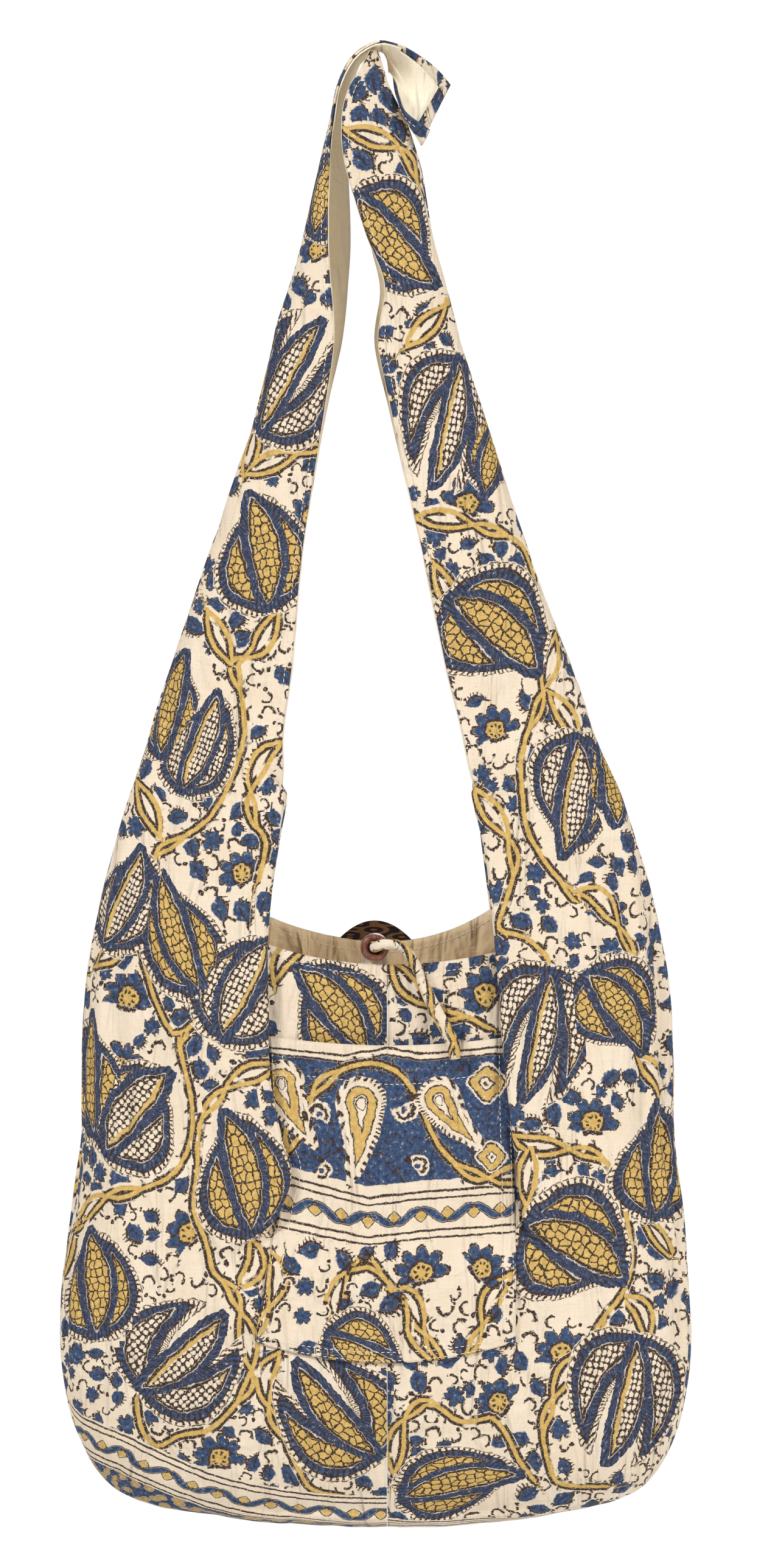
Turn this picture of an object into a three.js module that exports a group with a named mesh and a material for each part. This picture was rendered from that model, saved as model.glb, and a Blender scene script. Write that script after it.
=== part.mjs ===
// A jhola: a soft cotton sling bag whose two halves are each cut in one piece with half of the strap.
// The halves meet in a seam down the middle of the front and the back, and the strap ends cross over
// each other at the crown, where the bag hangs. Each half is printed cotton with a plain cotton lining.
// A patch pocket is stitched on the front, and a wooden bead on a cloth tie closes the mouth.
// Millimetres, +Z up, the front faces -Y and +X is to the right seen from the front. The origin is
// under the crown.
import * as THREE from "three";
import { mergeVertices } from "three/addons/utils/BufferGeometryUtils.js";

// Driving sizes
const HEIGHT = 962; // crown of the strap to the lowest point of the sack
const WIDTH = 410; // across the sack where it is widest
const DEPTH = 112; // front to back where it is deepest
const CROWN = 7; // top of the strap above the origin
const CLOTH = 1.2; // printed cotton with its seam allowance
const LINING = 1.0;
const PLY_GAP = 0.35; // between the cotton and its lining
const SEAM_GAP = 0.4; // between the two halves along the middle seam
const SEAM_SHIFT = 8; // the middle seam hangs a little to the right
const UNDERLAP = 24; // how far the middle panel runs on behind a side fold
const FOLD_ROOM = 3.6; // space inside a side fold for the pocket's edge
const POCKET_SLACK = 9.5; // how far the empty pocket stands off the bag
const STITCH_GAP = 0.35; // between pieces that are sewn on each other
const LIP_RISE = 1.4; // how far the front hem rises beside its lowest point, under the bead
const BEAD_DIAMETER = 18.6;
const BEAD_LENGTH = 13;
const BEAD_BORE = 8.4;
const CORD_DIAMETER = 7.4; // the rolled strip of cloth that ties the bag shut
const TIE_DROP = 71; // how far the tie's free end hangs below the bead
const ANCHOR_WIDTH = 17;
const ANCHOR_HEIGHT = 30;
const TAB_WIDTH = 50;
const TAB_HEIGHT = 34;

const HALF_WIDTH = WIDTH / 2;
const HALF_DEPTH = DEPTH / 2;
const PLY = CLOTH + PLY_GAP + LINING;
const INNER_TURN = FOLD_ROOM / 2; // the fold's hidden turn, print against print
const OUTER_TURN = PLY + 0.9; // the fold's visible edge, which holds two plies of lining
const FOLD_STEP = 2 * INNER_TURN + 2 * OUTER_TURN;

// Rows of numbers under named columns
const table = (columns, rows) =>
  rows.map((row) => Object.fromEntries(row.map((value, i) => [columns[i], value])));

// The sack from the strap down. down is a share of HEIGHT, left and right are the outline and leftEdge
// and rightEdge the visible edge of each side fold as shares of HALF_WIDTH, deep is a share of
// HALF_DEPTH, boxy is how square the section is, and fold is how far the side folds have closed over
// the middle panels.
const SACK = table(
  ["down", "left", "right", "leftEdge", "rightEdge", "deep", "boxy", "fold"],
  [
    [0.20, 0.32, 0.27, 0.125, 0.02, 0.37, 2.3, 0],
    [0.26, 0.39, 0.36, 0.17, 0.065, 0.39, 2.3, 0],
    [0.343, 0.522, 0.485, 0.229, 0.151, 0.42, 2.3, 0],
    [0.42, 0.646, 0.622, 0.262, 0.225, 0.47, 2.4, 0],
    [0.468, 0.717, 0.698, 0.290, 0.280, 0.53, 2.5, 0],
    [0.505, 0.771, 0.775, 0.281, 0.306, 0.58, 2.5, 0.3],
    [0.535, 0.816, 0.824, 0.302, 0.338, 0.63, 2.6, 1],
    [0.585, 0.878, 0.888, 0.332, 0.366, 0.71, 2.6, 1],
    [0.64, 0.915, 0.932, 0.333, 0.388, 0.79, 2.6, 1],
    [0.69, 0.927, 0.944, 0.329, 0.410, 0.85, 2.6, 1],
    [0.735, 0.93, 0.945, 0.290, 0.432, 0.90, 2.6, 1],
    [0.76, 0.942, 0.958, 0.258, 0.448, 0.93, 2.6, 0.7],
    [0.785, 0.958, 0.974, 0.298, 0.466, 0.955, 2.6, 0.32],
    [0.81, 0.975, 0.984, 0.340, 0.480, 0.975, 2.6, 0.12],
    [0.84, 0.991, 0.992, 0.385, 0.490, 0.99, 2.6, 0],
    [0.865, 0.995, 1.0, 0.400, 0.500, 1.0, 2.6, 0],
  ],
);
// Where each half's strap runs above the sack: near is the front hem, spine the fold of the strap's
// middle and far the back hem. X is a share of HALF_WIDTH, Y of HALF_DEPTH and Down of HEIGHT.
const LEFT_STRAP = table(
  ["nearX", "nearY", "nearDown", "spineX", "spineY", "spineDown", "farX", "farY", "farDown"],
  [
    [-0.229, -0.40, 0.343, -0.522, 0, 0.343, -0.226, 0.40, 0.343],
    [-0.168, -0.38, 0.260, -0.390, 0, 0.260, -0.161, 0.40, 0.260],
    [-0.132, -0.39, 0.202, -0.322, 0, 0.202, -0.103, 0.43, 0.202],
    [-0.144, -0.38, 0.157, -0.259, 0, 0.157, -0.088, 0.48, 0.157],
    [-0.151, -0.34, 0.128, -0.224, 0.03, 0.128, -0.083, 0.52, 0.128],
    [-0.146, -0.20, 0.083, -0.173, 0.10, 0.083, -0.093, 0.55, 0.083],
    [-0.137, -0.16, 0.054, -0.142, 0.14, 0.054, -0.098, 0.55, 0.054],
    [-0.118, -0.25, 0.029, -0.116, 0.10, 0.028, -0.083, 0.52, 0.029],
    [-0.070, -0.37, 0.0105, -0.071, 0.04, 0.008, -0.052, 0.47, 0.009],
    [0.0, -0.39, 0.001, 0, 0, 0, 0.022, 0.45, 0.0],
    [0.049, -0.34, 0.001, 0.042, 0.04, 0.0038, 0.054, 0.36, 0.008],
    [0.102, -0.18, 0.004, 0.068, 0.11, 0.015, 0.064, 0.14, 0.0215],
    [0.161, 0.07, 0.010, 0.096, 0.11, 0.031, 0.082, -0.14, 0.033],
    [0.205, 0.23, 0.018, 0.124, 0.02, 0.049, 0.124, -0.30, 0.043],
    [0.236, 0.30, 0.026, 0.152, -0.09, 0.0655, 0.185, -0.34, 0.054],
  ],
);
const RIGHT_STRAP = table(
  ["nearX", "nearY", "nearDown", "spineX", "spineY", "spineDown", "farX", "farY", "farDown"],
  [
    [0.151, -0.40, 0.343, 0.485, 0, 0.343, 0.146, 0.40, 0.343],
    [0.063, -0.38, 0.260, 0.361, 0, 0.260, 0.054, 0.38, 0.260],
    [0.010, -0.37, 0.205, 0.275, 0, 0.205, -0.004, 0.36, 0.205],
    [0.034, -0.36, 0.164, 0.224, 0, 0.164, 0.020, 0.33, 0.164],
    [-0.028, -0.36, 0.128, 0.180, 0, 0.128, -0.016, 0.31, 0.128],
    [-0.091, -0.37, 0.083, 0.144, -0.03, 0.083, -0.036, 0.28, 0.083],
    [-0.102, -0.37, 0.054, 0.100, -0.05, 0.054, -0.040, 0.26, 0.054],
    [-0.083, -0.35, 0.033, 0.052, -0.07, 0.033, -0.042, 0.24, 0.033],
    [-0.040, -0.32, 0.018, 0.028, -0.06, 0.018, -0.030, 0.24, 0.018],
    [-0.012, -0.30, 0.0070, 0.008, -0.05, 0.0048, -0.006, 0.24, 0.0072],
  ],
);
// The mouth's edge as shares of HEIGHT, from the middle seam out to the side
const MOUTH = {
  left: { frontMiddle: 0.6185, frontFold: 0.594, side: 0.586, backFold: 0.574, backMiddle: 0.6045 },
  right: { frontMiddle: 0.6185, frontFold: 0.603, side: 0.586, backFold: 0.562, backMiddle: 0.6045 },
};
// The bottom: where each outline turns under, as shares of HALF_WIDTH and HEIGHT
const BOTTOM = {
  left: { corner: 0.72, cornerDown: 0.980, middleDown: 0.998 },
  right: { corner: 0.76, cornerDown: 0.978, middleDown: 0.998 },
};
const TURN_UNDER = 0.865; // the sack's sides start to turn under here, a share of HEIGHT
const SEAT_BACK = 0.1; // the bottom's line lies behind the middle by this share of HALF_DEPTH
const CREASE = 0.085; // depth of the crease along the bottom's front, a share of HALF_DEPTH
const CREASE_START = 0.72; // how far round the bottom's turn the crease begins, a share of the turn
const CORNER_POWER = 2.5; // how late the bottom's line rises towards its corners
const BELLY_POWER = 0.75; // how square the bottom's turn is from front to back

// Places across the cloth of one half, from the front seam at 0 to the back seam at 1
const PANEL_END = 0.15; // the middle panel ends and the hidden turn starts
const HEM = 0.22; // above the mouth the cloth starts here
const TURN_START = 0.26;
const WING = 0.34; // the side fold is over and the wing starts
const FOLDED = [0, 0.05, 0.1, 0.15, 0.173, 0.197, 0.22, 0.26, 0.28, 0.3, 0.32, 0.34, 0.39, 0.445, 0.5];
const PLAIN = [0, 0.075, 0.15, 0.22, 0.28, 0.34, 0.39, 0.43, 0.47, 0.5];
const MOUTH_UP = FOLDED.filter((v) => v >= HEM);
const STRAP = [0.22, 0.29, 0.36, 0.43, 0.5];
const STRAP_ROWS = 1.15; // rows of cloth for each row of the strap's table
const STRAP_BLEND = 3; // the sack's form passes into the strap's over this many rows of its table
const RISE = [0.84, 0.81, 0.785, 0.76, 0.735, 0.70, 0.665, 0.635]; // rows of the sack, as shares of HEIGHT
const UNDER_TURN = [1, 0.93, 0.86, 0.79, 0.66, 0.45, 0.22]; // rows of the bottom, from its line outwards
const HEM_LEVEL = 0.5; // the rows run level from here up, a share of HEIGHT
const SEAM_TOP = 0.55; // the middle seams end below this share of HEIGHT
const ON_SEAM = 0.4; // cloth this near the middle seam's line belongs to it

const sideOf = { left: -1, right: 1 };
const UPRIGHT = 0.3; // a fold closed this far stands upright, and what is less is a shallow step
const SPREAD = 0.3; // where there is no fold its cloth takes this share of the wing's width
const FOLD_TOP = 0.5; // the side folds begin here, a share of HEIGHT
const FOLD_RUN = 0.08; // and reach their full underlap over this share of HEIGHT
const smooth = (t) => t * t * (3 - 2 * t);
const clamp = (t) => Math.min(1, Math.max(0, t));
const mix = (a, b, t) => a + (b - a) * t;

// A smooth curve through one column of a table, by the row's own key or by its place in the table
function along(rows, key, at, by) {
  const place = (i) => (by ? rows[i][by] : i / (rows.length - 1));
  const last = rows.length - 1;
  let i = 0;
  while (i < last - 1 && at > place(i + 1)) i++;
  const slope = (k) => {
    const [a, b] = [Math.max(0, k - 1), Math.min(last, k + 1)];
    return (rows[b][key] - rows[a][key]) / (place(b) - place(a));
  };
  const span = place(i + 1) - place(i);
  const t = clamp((at - place(i)) / span);
  const [a, b] = [rows[i][key], rows[i + 1][key]];
  const [t2, t3] = [t * t, t * t * t];
  return (
    a * (2 * t3 - 3 * t2 + 1) +
    b * (3 * t2 - 2 * t3) +
    span * (slope(i) * (t3 - 2 * t2 + t) + slope(i + 1) * (t3 - t2))
  );
}

const sack = (key, down) => along(SACK, key, down, "down");
const zOf = (down) => CROWN - down * HEIGHT;

// A point of the sack's plain outline: across is its distance from the bag's middle, and lift stands off it
function outline(side, down, across, lift, back) {
  const wide = sack(side, down) * HALF_WIDTH;
  const deep = sack("deep", down) * HALF_DEPTH;
  const power = sack("boxy", down);
  const x = Math.min(Math.abs(across) / wide, 0.9999);
  const y = (1 - x ** power) ** (1 / power);
  const normal = new THREE.Vector2(x ** (power - 1) / wide, y ** (power - 1) / deep).normalize();
  const sign = sideOf[side] * Math.sign(across || 1);
  return new THREE.Vector3(
    sign * (x * wide + normal.x * lift),
    (back ? 1 : -1) * (y * deep + normal.y * lift),
    zOf(down),
  );
}

// The wing of the outline from its distance across to the side, evenly by angle
function wing(side, down, from, share, back) {
  const wide = sack(side, down) * HALF_WIDTH;
  const deep = sack("deep", down) * HALF_DEPTH;
  const power = sack("boxy", down);
  const x = from / wide;
  const start = Math.atan2(x, (1 - x ** power) ** (1 / power));
  const angle = mix(start, Math.PI / 2, share);
  const [s, c] = [Math.sin(angle), Math.max(0, Math.cos(angle))];
  const reach = (s ** power + c ** power) ** (-1 / power);
  return new THREE.Vector3(sideOf[side] * reach * s * wide, (back ? 1 : -1) * reach * c * deep, zOf(down));
}

// How the side fold lies at a height: its visible edge, how far the cloth runs behind it, how deep it
// steps in, and how much of it is left once its turns stand over each other
function foldAt(side, down) {
  const closed = clamp(sack("fold", down));
  const edge = sack(side + "Edge", down) * HALF_WIDTH;
  const behind = clamp((closed - UPRIGHT) / (1 - UPRIGHT));
  const whole = smooth(clamp(closed / UPRIGHT));
  const begun = smooth(clamp((down - FOLD_TOP) / FOLD_RUN));
  const under = OUTER_TURN + UNDERLAP * Math.min(behind, begun);
  const spread = SPREAD * (sack(side, down) * HALF_WIDTH - edge);
  return { edge, under, step: FOLD_STEP * whole, whole, spread };
}

// A point of one half's printed face: down is a share of HEIGHT, v its place across the cloth
function clothPoint(side, down, v, aboveMouth = false) {
  const back = v > 0.5;
  const w = back ? 1 - v : v;
  const { edge, under, step, whole, spread } = foldAt(side, down);
  if (w >= WING) {
    const start = edge + mix(spread, OUTER_TURN, whole);
    return wing(side, down, start, (w - WING) / (0.5 - WING), back);
  }
  if (w <= PANEL_END) {
    const seam = sideOf[side] * SEAM_SHIFT;
    return outline(side, down, mix(seam, edge + under * whole, w / PANEL_END), -step, back);
  }
  let [tau, lift] = [0, 0];
  if (w <= HEM) {
    const turn = Math.PI * ((w - PANEL_END) / (HEM - PANEL_END) - 0.5);
    tau = under + INNER_TURN * Math.cos(turn);
    lift = -FOLD_STEP + INNER_TURN * (1 + Math.sin(turn));
  } else if (w <= TURN_START) {
    tau = mix(under, OUTER_TURN, (w - HEM) / (TURN_START - HEM));
    lift = -2 * OUTER_TURN;
  } else {
    const turn = (Math.PI * (w - TURN_START)) / (WING - TURN_START);
    tau = OUTER_TURN * (1 - Math.sin(turn));
    lift = -OUTER_TURN * (1 + Math.cos(turn));
  }
  const first = aboveMouth ? HEM : PANEL_END;
  const flat = (spread * (w - first)) / (WING - first);
  return outline(side, down, edge + mix(flat, tau, whole), lift * whole, back);
}

// How far down each place across the mouth's edge lies
function mouthDown(side, v) {
  const m = MOUTH[side];
  const w = v > 0.5 ? 1 - v : v;
  const [middle, fold] = v > 0.5 ? [m.backMiddle, m.backFold] : [m.frontMiddle, m.frontFold];
  if (w <= PANEL_END) return mix(middle, fold, (w / PANEL_END) ** 2);
  return mix(fold, m.side, clamp((w - PANEL_END) / (0.5 - PANEL_END)));
}

// The bottom's line, which front and back share, and the sides that turn under to it
function bottomPoint(side, v) {
  const b = BOTTOM[side];
  const share = (v > 0.5 ? 1 - v : v) / 0.5;
  const across = mix(sideOf[side] * SEAM_SHIFT, b.corner * HALF_WIDTH, share);
  return new THREE.Vector3(
    sideOf[side] * across,
    SEAT_BACK * HALF_DEPTH,
    zOf(mix(b.middleDown, b.cornerDown, share ** CORNER_POWER)),
  );
}

function underPoint(side, v, turn) {
  const top = clothPoint(side, TURN_UNDER, v);
  const end = bottomPoint(side, v);
  const angle = (turn * Math.PI) / 2;
  const [s, c] = [Math.sin(angle), Math.max(0, Math.cos(angle))];
  const wave = Math.sin(2 * Math.PI * clamp((turn - CREASE_START) / (1 - CREASE_START)));
  const crease = v < 0.5 ? CREASE * HALF_DEPTH * wave * Math.cos(Math.PI * v) : 0;
  return new THREE.Vector3(
    mix(end.x, top.x, c),
    mix(end.y, top.y, c ** BELLY_POWER) - crease,
    mix(top.z, end.z, s),
  );
}

// A section of the strap: a smooth bow from the near hem over the spine to the far hem
function strapPoint(rows, share, v) {
  const corner = (name) =>
    new THREE.Vector3(
      along(rows, name + "X", share) * HALF_WIDTH,
      along(rows, name + "Y", share) * HALF_DEPTH,
      zOf(along(rows, name + "Down", share)),
    );
  const [near, spine, far] = ["near", "spine", "far"].map(corner);
  const pull = spine.clone().multiplyScalar(2).sub(near.clone().add(far).multiplyScalar(0.5));
  const t = (v - HEM) / (1 - 2 * HEM);
  return near
    .multiplyScalar((1 - t) ** 2)
    .add(pull.multiplyScalar(2 * t * (1 - t)))
    .add(far.multiplyScalar(t ** 2));
}

const bothSides = (list) => [...list, ...list.filter((v) => v < 0.5).map((v) => 1 - v).reverse()];
const row = (list, point) => bothSides(list).map((v) => ({ v, p: point(v) }));

// The rows of one half from the bottom's line up to the strap's end
function clothRows(side) {
  const rows = [];
  for (const turn of UNDER_TURN) {
    rows.push(row(PLAIN, (v) => (turn === 1 ? bottomPoint(side, v) : underPoint(side, v, turn))));
  }
  rows.push(row(PLAIN, (v) => clothPoint(side, TURN_UNDER, v)));
  for (const down of RISE) rows.push(row(FOLDED, (v) => clothPoint(side, down, v)));
  for (const share of [0.5, 1]) {
    rows.push(row(FOLDED, (v) => clothPoint(side, mix(RISE.at(-1), mouthDown(side, v), share), v)));
  }
  for (const share of [0.3, 0.55, 0.78, 1]) {
    rows.push(row(MOUTH_UP, (v) => clothPoint(side, mix(mouthDown(side, v), HEM_LEVEL, share), v, true)));
  }
  for (const down of [0.468, 0.42, 0.38]) rows.push(row(STRAP, (v) => clothPoint(side, down, v, true)));
  const sections = side === "left" ? LEFT_STRAP : RIGHT_STRAP;
  const last = sections.length - 1;
  const steps = Math.round(last * STRAP_ROWS);
  for (let i = 0; i <= steps; i++) {
    const share = i / steps;
    const down = along(sections, "spineDown", share);
    const bow = smooth(clamp((share * last) / STRAP_BLEND));
    rows.push(
      row(STRAP, (v) => {
        const bowed = strapPoint(sections, share, v);
        const sackForm = clothPoint(side, Math.max(down, SACK[0].down), v, true).setZ(zOf(down));
        return bowed.lerp(sackForm, 1 - bow);
      }),
    );
  }
  return rows;
}

// Joins two neighbouring rows with triangles, over the stretch of cloth that both have
function zip(lower, upper, faces) {
  const from = Math.max(lower[0].v, upper[0].v) - 1e-6;
  const to = Math.min(lower.at(-1).v, upper.at(-1).v) + 1e-6;
  const [a, b] = [lower, upper].map((r) => r.filter(({ v }) => v >= from && v <= to));
  let [i, j] = [0, 0];
  const short = () => a[i + 1].p.distanceTo(b[j].p) < a[i].p.distanceTo(b[j + 1].p);
  while (i < a.length - 1 || j < b.length - 1) {
    const both = i < a.length - 1 && j < b.length - 1;
    const level = both && Math.abs(a[i + 1].v - b[j + 1].v) < 1e-6;
    const stepLower = level ? short() : both ? a[i + 1].v < b[j + 1].v : j === b.length - 1;
    faces.push(stepLower ? [a[i].p, a[i + 1].p, b[j].p] : [a[i].p, b[j + 1].p, b[j].p]);
    if (stepLower) i++;
    else j++;
  }
}

const SHARPEST = 0.9; // a wall keeps its thickness in a crease down to this cosine

// Turns an open sheet of triangles into a closed wall, from near to far under its face
function wall(faces, near, far, flip, settle = (n) => n) {
  const soup = new THREE.BufferGeometry();
  const loose = faces.flat().flatMap((p) => p.toArray());
  soup.setAttribute("position", new THREE.Float32BufferAttribute(loose, 3));
  const sheet = mergeVertices(soup, 1e-3);
  const place = sheet.getAttribute("position");
  const pointAt = (_, i) => new THREE.Vector3().fromBufferAttribute(place, i);
  const points = Array.from({ length: place.count }, pointAt);
  const corners = [];
  for (let i = 0; i < sheet.index.count; i += 3) {
    const [a, b, c] = [0, 1, 2].map((k) => sheet.index.getX(i + k));
    if (a !== b && b !== c && c !== a) corners.push(flip ? [a, c, b] : [a, b, c]);
  }
  const normals = points.map(() => new THREE.Vector3());
  const around = points.map(() => []);
  for (const [a, b, c] of corners) {
    const face = points[b].clone().sub(points[a]).cross(points[c].clone().sub(points[a])).normalize();
    for (const [at, one, two] of [[a, b, c], [b, c, a], [c, a, b]]) {
      const angle = points[one].clone().sub(points[at]).angleTo(points[two].clone().sub(points[at]));
      normals[at].addScaledVector(face, angle);
      around[at].push(face);
    }
  }
  normals.forEach((n, i) => settle(n.normalize(), points[i]).normalize());
  const sharpness = (n, i) => Math.min(...around[i].map((face) => face.dot(n)));
  const reach = normals.map((n, i) => 1 / Math.max(SHARPEST, sharpness(n, i)));
  const offset = (depth) =>
    points.flatMap((p, i) => p.clone().addScaledVector(normals[i], -depth * reach[i]).toArray());
  const count = points.length;
  const uses = new Map();
  for (const face of corners) {
    face.forEach((a, k) => {
      const b = face[(k + 1) % 3];
      if (!uses.delete(b + "," + a)) uses.set(a + "," + b, [a, b]);
    });
  }
  const index = corners.flatMap(([a, b, c]) => [a, b, c, a + count, c + count, b + count]);
  for (const [a, b] of uses.values()) index.push(a, a + count, b + count, a, b + count, b);
  const solid = new THREE.BufferGeometry();
  solid.setAttribute("position", new THREE.Float32BufferAttribute([...offset(near), ...offset(far)], 3));
  solid.setIndex(index);
  return solid;
}

function material(color, roughness) {
  return new THREE.MeshStandardMaterial({ color, roughness, metalness: 0 });
}

function mesh(name, geometry, finish) {
  const made = new THREE.Mesh(geometry, finish);
  made.name = name;
  return made;
}

const print = material(0xe6d0ab, 0.85);
const plainCotton = material(0xd9bf8f, 0.85);
const wood = material(0x7b3f22, 0.4);

// One half of the printed cotton or of the lining
function half(side, near, far) {
  const rows = clothRows(side);
  const seam = sideOf[side] * (SEAM_GAP / 2);
  const faces = [];
  for (let i = 0; i + 1 < rows.length; i++) zip(rows[i], rows[i + 1], faces);
  const onSeam = (p) => Math.abs(p.x - SEAM_SHIFT) < ON_SEAM && p.z < zOf(SEAM_TOP);
  const settle = (normal, p) => (onSeam(p) ? normal.setX(0) : normal);
  const solid = wall(faces, near, far, side === "left", settle);
  const place = solid.getAttribute("position");
  for (let i = 0; i < place.count; i++) {
    if (onSeam({ x: place.getX(i), z: place.getZ(i) })) place.setX(i, SEAM_SHIFT + seam);
  }
  return solid;
}

// The front's middle panel at a place across the bag, where the pocket and the tie lie
function panelPoint(x, down, lift = 0) {
  const side = x < SEAM_SHIFT ? "left" : "right";
  return outline(side, down, sideOf[side] * x, lift - foldAt(side, down).step, false);
}

// A rectangle of cloth as an open sheet
function grid(across, up, point) {
  const faces = [];
  const rows = Array.from({ length: up + 1 }, (_, j) =>
    Array.from({ length: across + 1 }, (_, i) => ({ v: i / across, p: point(i / across, j / up) })),
  );
  for (let j = 0; j < up; j++) zip(rows[j], rows[j + 1], faces);
  return faces;
}

// The patch pocket, sewn down on three sides and slack at its mouth. Its sides lie at shares of HALF_WIDTH.
const POCKET = table(
  ["down", "left", "right"],
  [
    [0.665, -0.336, 0.434],
    [0.728, -0.316, 0.438],
    [0.753, -0.272, 0.440],
    [0.778, -0.298, 0.442],
    [0.808, -0.325, 0.442],
    [0.866, -0.373, 0.439],
  ],
);
const POCKET_ROWS = [0.666, 0.70, 0.735, 0.76, 0.785, 0.81, 0.84, 0.856, 0.868];
const POCKET_SAG = [0.006, 0.004, 0, 0, 0, 0, 0, 0.006, 0.0148]; // how far each row hangs in its middle

function pocketPoint(across, up) {
  const place = Math.round((1 - up) * (POCKET_ROWS.length - 1));
  const sag = POCKET_SAG[place] * Math.sin(Math.PI * across) ** 0.8;
  const row = POCKET_ROWS[place];
  const [left, right] = ["left", "right"].map((key) => along(POCKET, key, row, "down") * HALF_WIDTH);
  const slack = POCKET_SLACK * Math.sin(Math.PI * across) ** 2 * smooth(clamp((0.862 - row) / 0.1));
  return panelPoint(mix(left, right, across), row + sag, STITCH_GAP + CLOTH + slack);
}

const lip = panelPoint(0, MOUTH.left.frontMiddle);
const beadRadius = BEAD_DIAMETER / 2;
const seatZ = lip.z + LIP_RISE + STITCH_GAP;
const beadAt = new THREE.Vector3(0, lip.y + PLY / 2, seatZ + beadRadius);

// The bead: a round wooden ring whose bore points to the front
function bead() {
  const wallHalf = (BEAD_DIAMETER - BEAD_BORE) / 4;
  const middle = (BEAD_DIAMETER + BEAD_BORE) / 4;
  const around = 10;
  const profile = Array.from({ length: around + 1 }, (_, i) => {
    const angle = (i / around) * 2 * Math.PI;
    return new THREE.Vector2(middle + wallHalf * Math.cos(angle), (BEAD_LENGTH / 2) * Math.sin(angle));
  });
  profile[around] = profile[0].clone();
  return new THREE.LatheGeometry(profile, 16).translate(beadAt.x, beadAt.y, beadAt.z);
}

// The tie's route from behind the bead, through it, and down the front, as steps from the bead's
// middle in shares of TIE_DROP
const TIE_ROUTE = table(
  ["right", "back", "up"],
  [
    [0, 0.09, 0],
    [0, 0.028, 0],
    [0, -0.056, 0],
    [0.014, -0.128, 0.008],
    [0.092, -0.166, 0.031],
    [0.197, -0.159, 0.023],
    [0.289, -0.122, -0.034],
    [0.359, -0.099, -0.141],
    [0.423, -0.101, -0.282],
    [0.507, -0.117, -0.479],
    [0.613, -0.163, -0.676],
    [0.704, -0.232, -0.859],
    [0.725, -0.258, -1],
  ],
);

function tie() {
  const steps = TIE_ROUTE.map(({ right, back, up }) => new THREE.Vector3(right, back, up));
  const route = steps.map((step) => step.multiplyScalar(TIE_DROP).add(beadAt));
  const path = new THREE.CatmullRomCurve3(route);
  const sides = 8;
  const ring = Array.from({ length: sides }, (_, i) => {
    const angle = (i / sides) * 2 * Math.PI;
    return new THREE.Vector2(Math.cos(angle), Math.sin(angle)).multiplyScalar(CORD_DIAMETER / 2);
  });
  const options = { extrudePath: path, steps: 18, bevelEnabled: false };
  return new THREE.ExtrudeGeometry(new THREE.Shape(ring), options);
}

// The anchor: a short loop of cloth sewn inside the front hem, which stands up behind the bead
function anchor() {
  const back = beadAt.y + BEAD_LENGTH / 2 + STITCH_GAP + CLOTH;
  const sewn = lip.y + PLY + STITCH_GAP + CLOTH;
  const foot = beadAt.z + beadRadius * 0.3 - ANCHOR_HEIGHT;
  return grid(4, 6, (across, up) => {
    const lean = smooth(clamp((up - 0.34) / 0.22));
    return new THREE.Vector3(
      beadAt.x + (across - 0.5) * ANCHOR_WIDTH,
      mix(sewn, back, lean),
      foot + up * ANCHOR_HEIGHT,
    );
  });
}

// The tab: a bowed strip sewn on the outside of the back hem
function tab() {
  const top = zOf(MOUTH.left.backMiddle) + 0.4 * TAB_HEIGHT;
  return grid(8, 3, (across, up) => {
    const x = (across - 0.5) * TAB_WIDTH;
    const bow = 1 - (2 * across - 1) ** 2;
    const z = top - TAB_HEIGHT + up * TAB_HEIGHT * (0.6 + 0.4 * bow);
    const down = (CROWN - z) / HEIGHT;
    const wallAt = panelPoint(x, down, STITCH_GAP + CLOTH);
    return new THREE.Vector3(x, -wallAt.y, z);
  });
}

const bag = new THREE.Group();
for (const side of ["left", "right"]) {
  bag.add(mesh(side + "_half", half(side, 0, CLOTH), print));
  bag.add(mesh(side + "_lining", half(side, CLOTH + PLY_GAP, PLY), plainCotton));
}
bag.add(mesh("pocket", wall(grid(12, POCKET_ROWS.length - 1, pocketPoint), 0, CLOTH, false), print));
bag.add(mesh("toggle_bead", bead(), wood));
bag.add(mesh("tie_cord", tie(), print));
bag.add(mesh("tie_anchor", wall(anchor(), 0, CLOTH, true), print));
bag.add(mesh("loop_tab", wall(tab(), 0, CLOTH, true), print));

export default bag;
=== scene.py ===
import math

import bpy
import numpy as np
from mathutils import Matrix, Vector


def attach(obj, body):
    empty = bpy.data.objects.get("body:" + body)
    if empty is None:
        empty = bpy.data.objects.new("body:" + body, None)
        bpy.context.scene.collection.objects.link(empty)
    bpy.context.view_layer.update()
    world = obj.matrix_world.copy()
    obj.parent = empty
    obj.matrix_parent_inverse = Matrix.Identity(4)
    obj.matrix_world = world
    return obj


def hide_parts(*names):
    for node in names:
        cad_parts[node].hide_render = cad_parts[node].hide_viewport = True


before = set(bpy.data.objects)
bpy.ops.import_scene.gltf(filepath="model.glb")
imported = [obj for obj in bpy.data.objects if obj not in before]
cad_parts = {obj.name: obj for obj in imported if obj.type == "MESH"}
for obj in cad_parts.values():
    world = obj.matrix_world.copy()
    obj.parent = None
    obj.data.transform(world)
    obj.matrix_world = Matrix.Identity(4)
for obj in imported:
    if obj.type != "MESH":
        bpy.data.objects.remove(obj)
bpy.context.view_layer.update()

# The cloth is worked out in millimetres, +Z up, the front facing -Y, and goes into the meshes in metres.
MM = 0.001
HEIGHT, WIDTH, DEPTH, CROWN = 962.0, 410.0, 112.0, 7.0
CLOTH, LINING, PLY_GAP = 1.2, 1.0, 0.35
SEAM_GAP, SEAM_SHIFT, STITCH_GAP = 0.4, 8.0, 0.35
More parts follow.
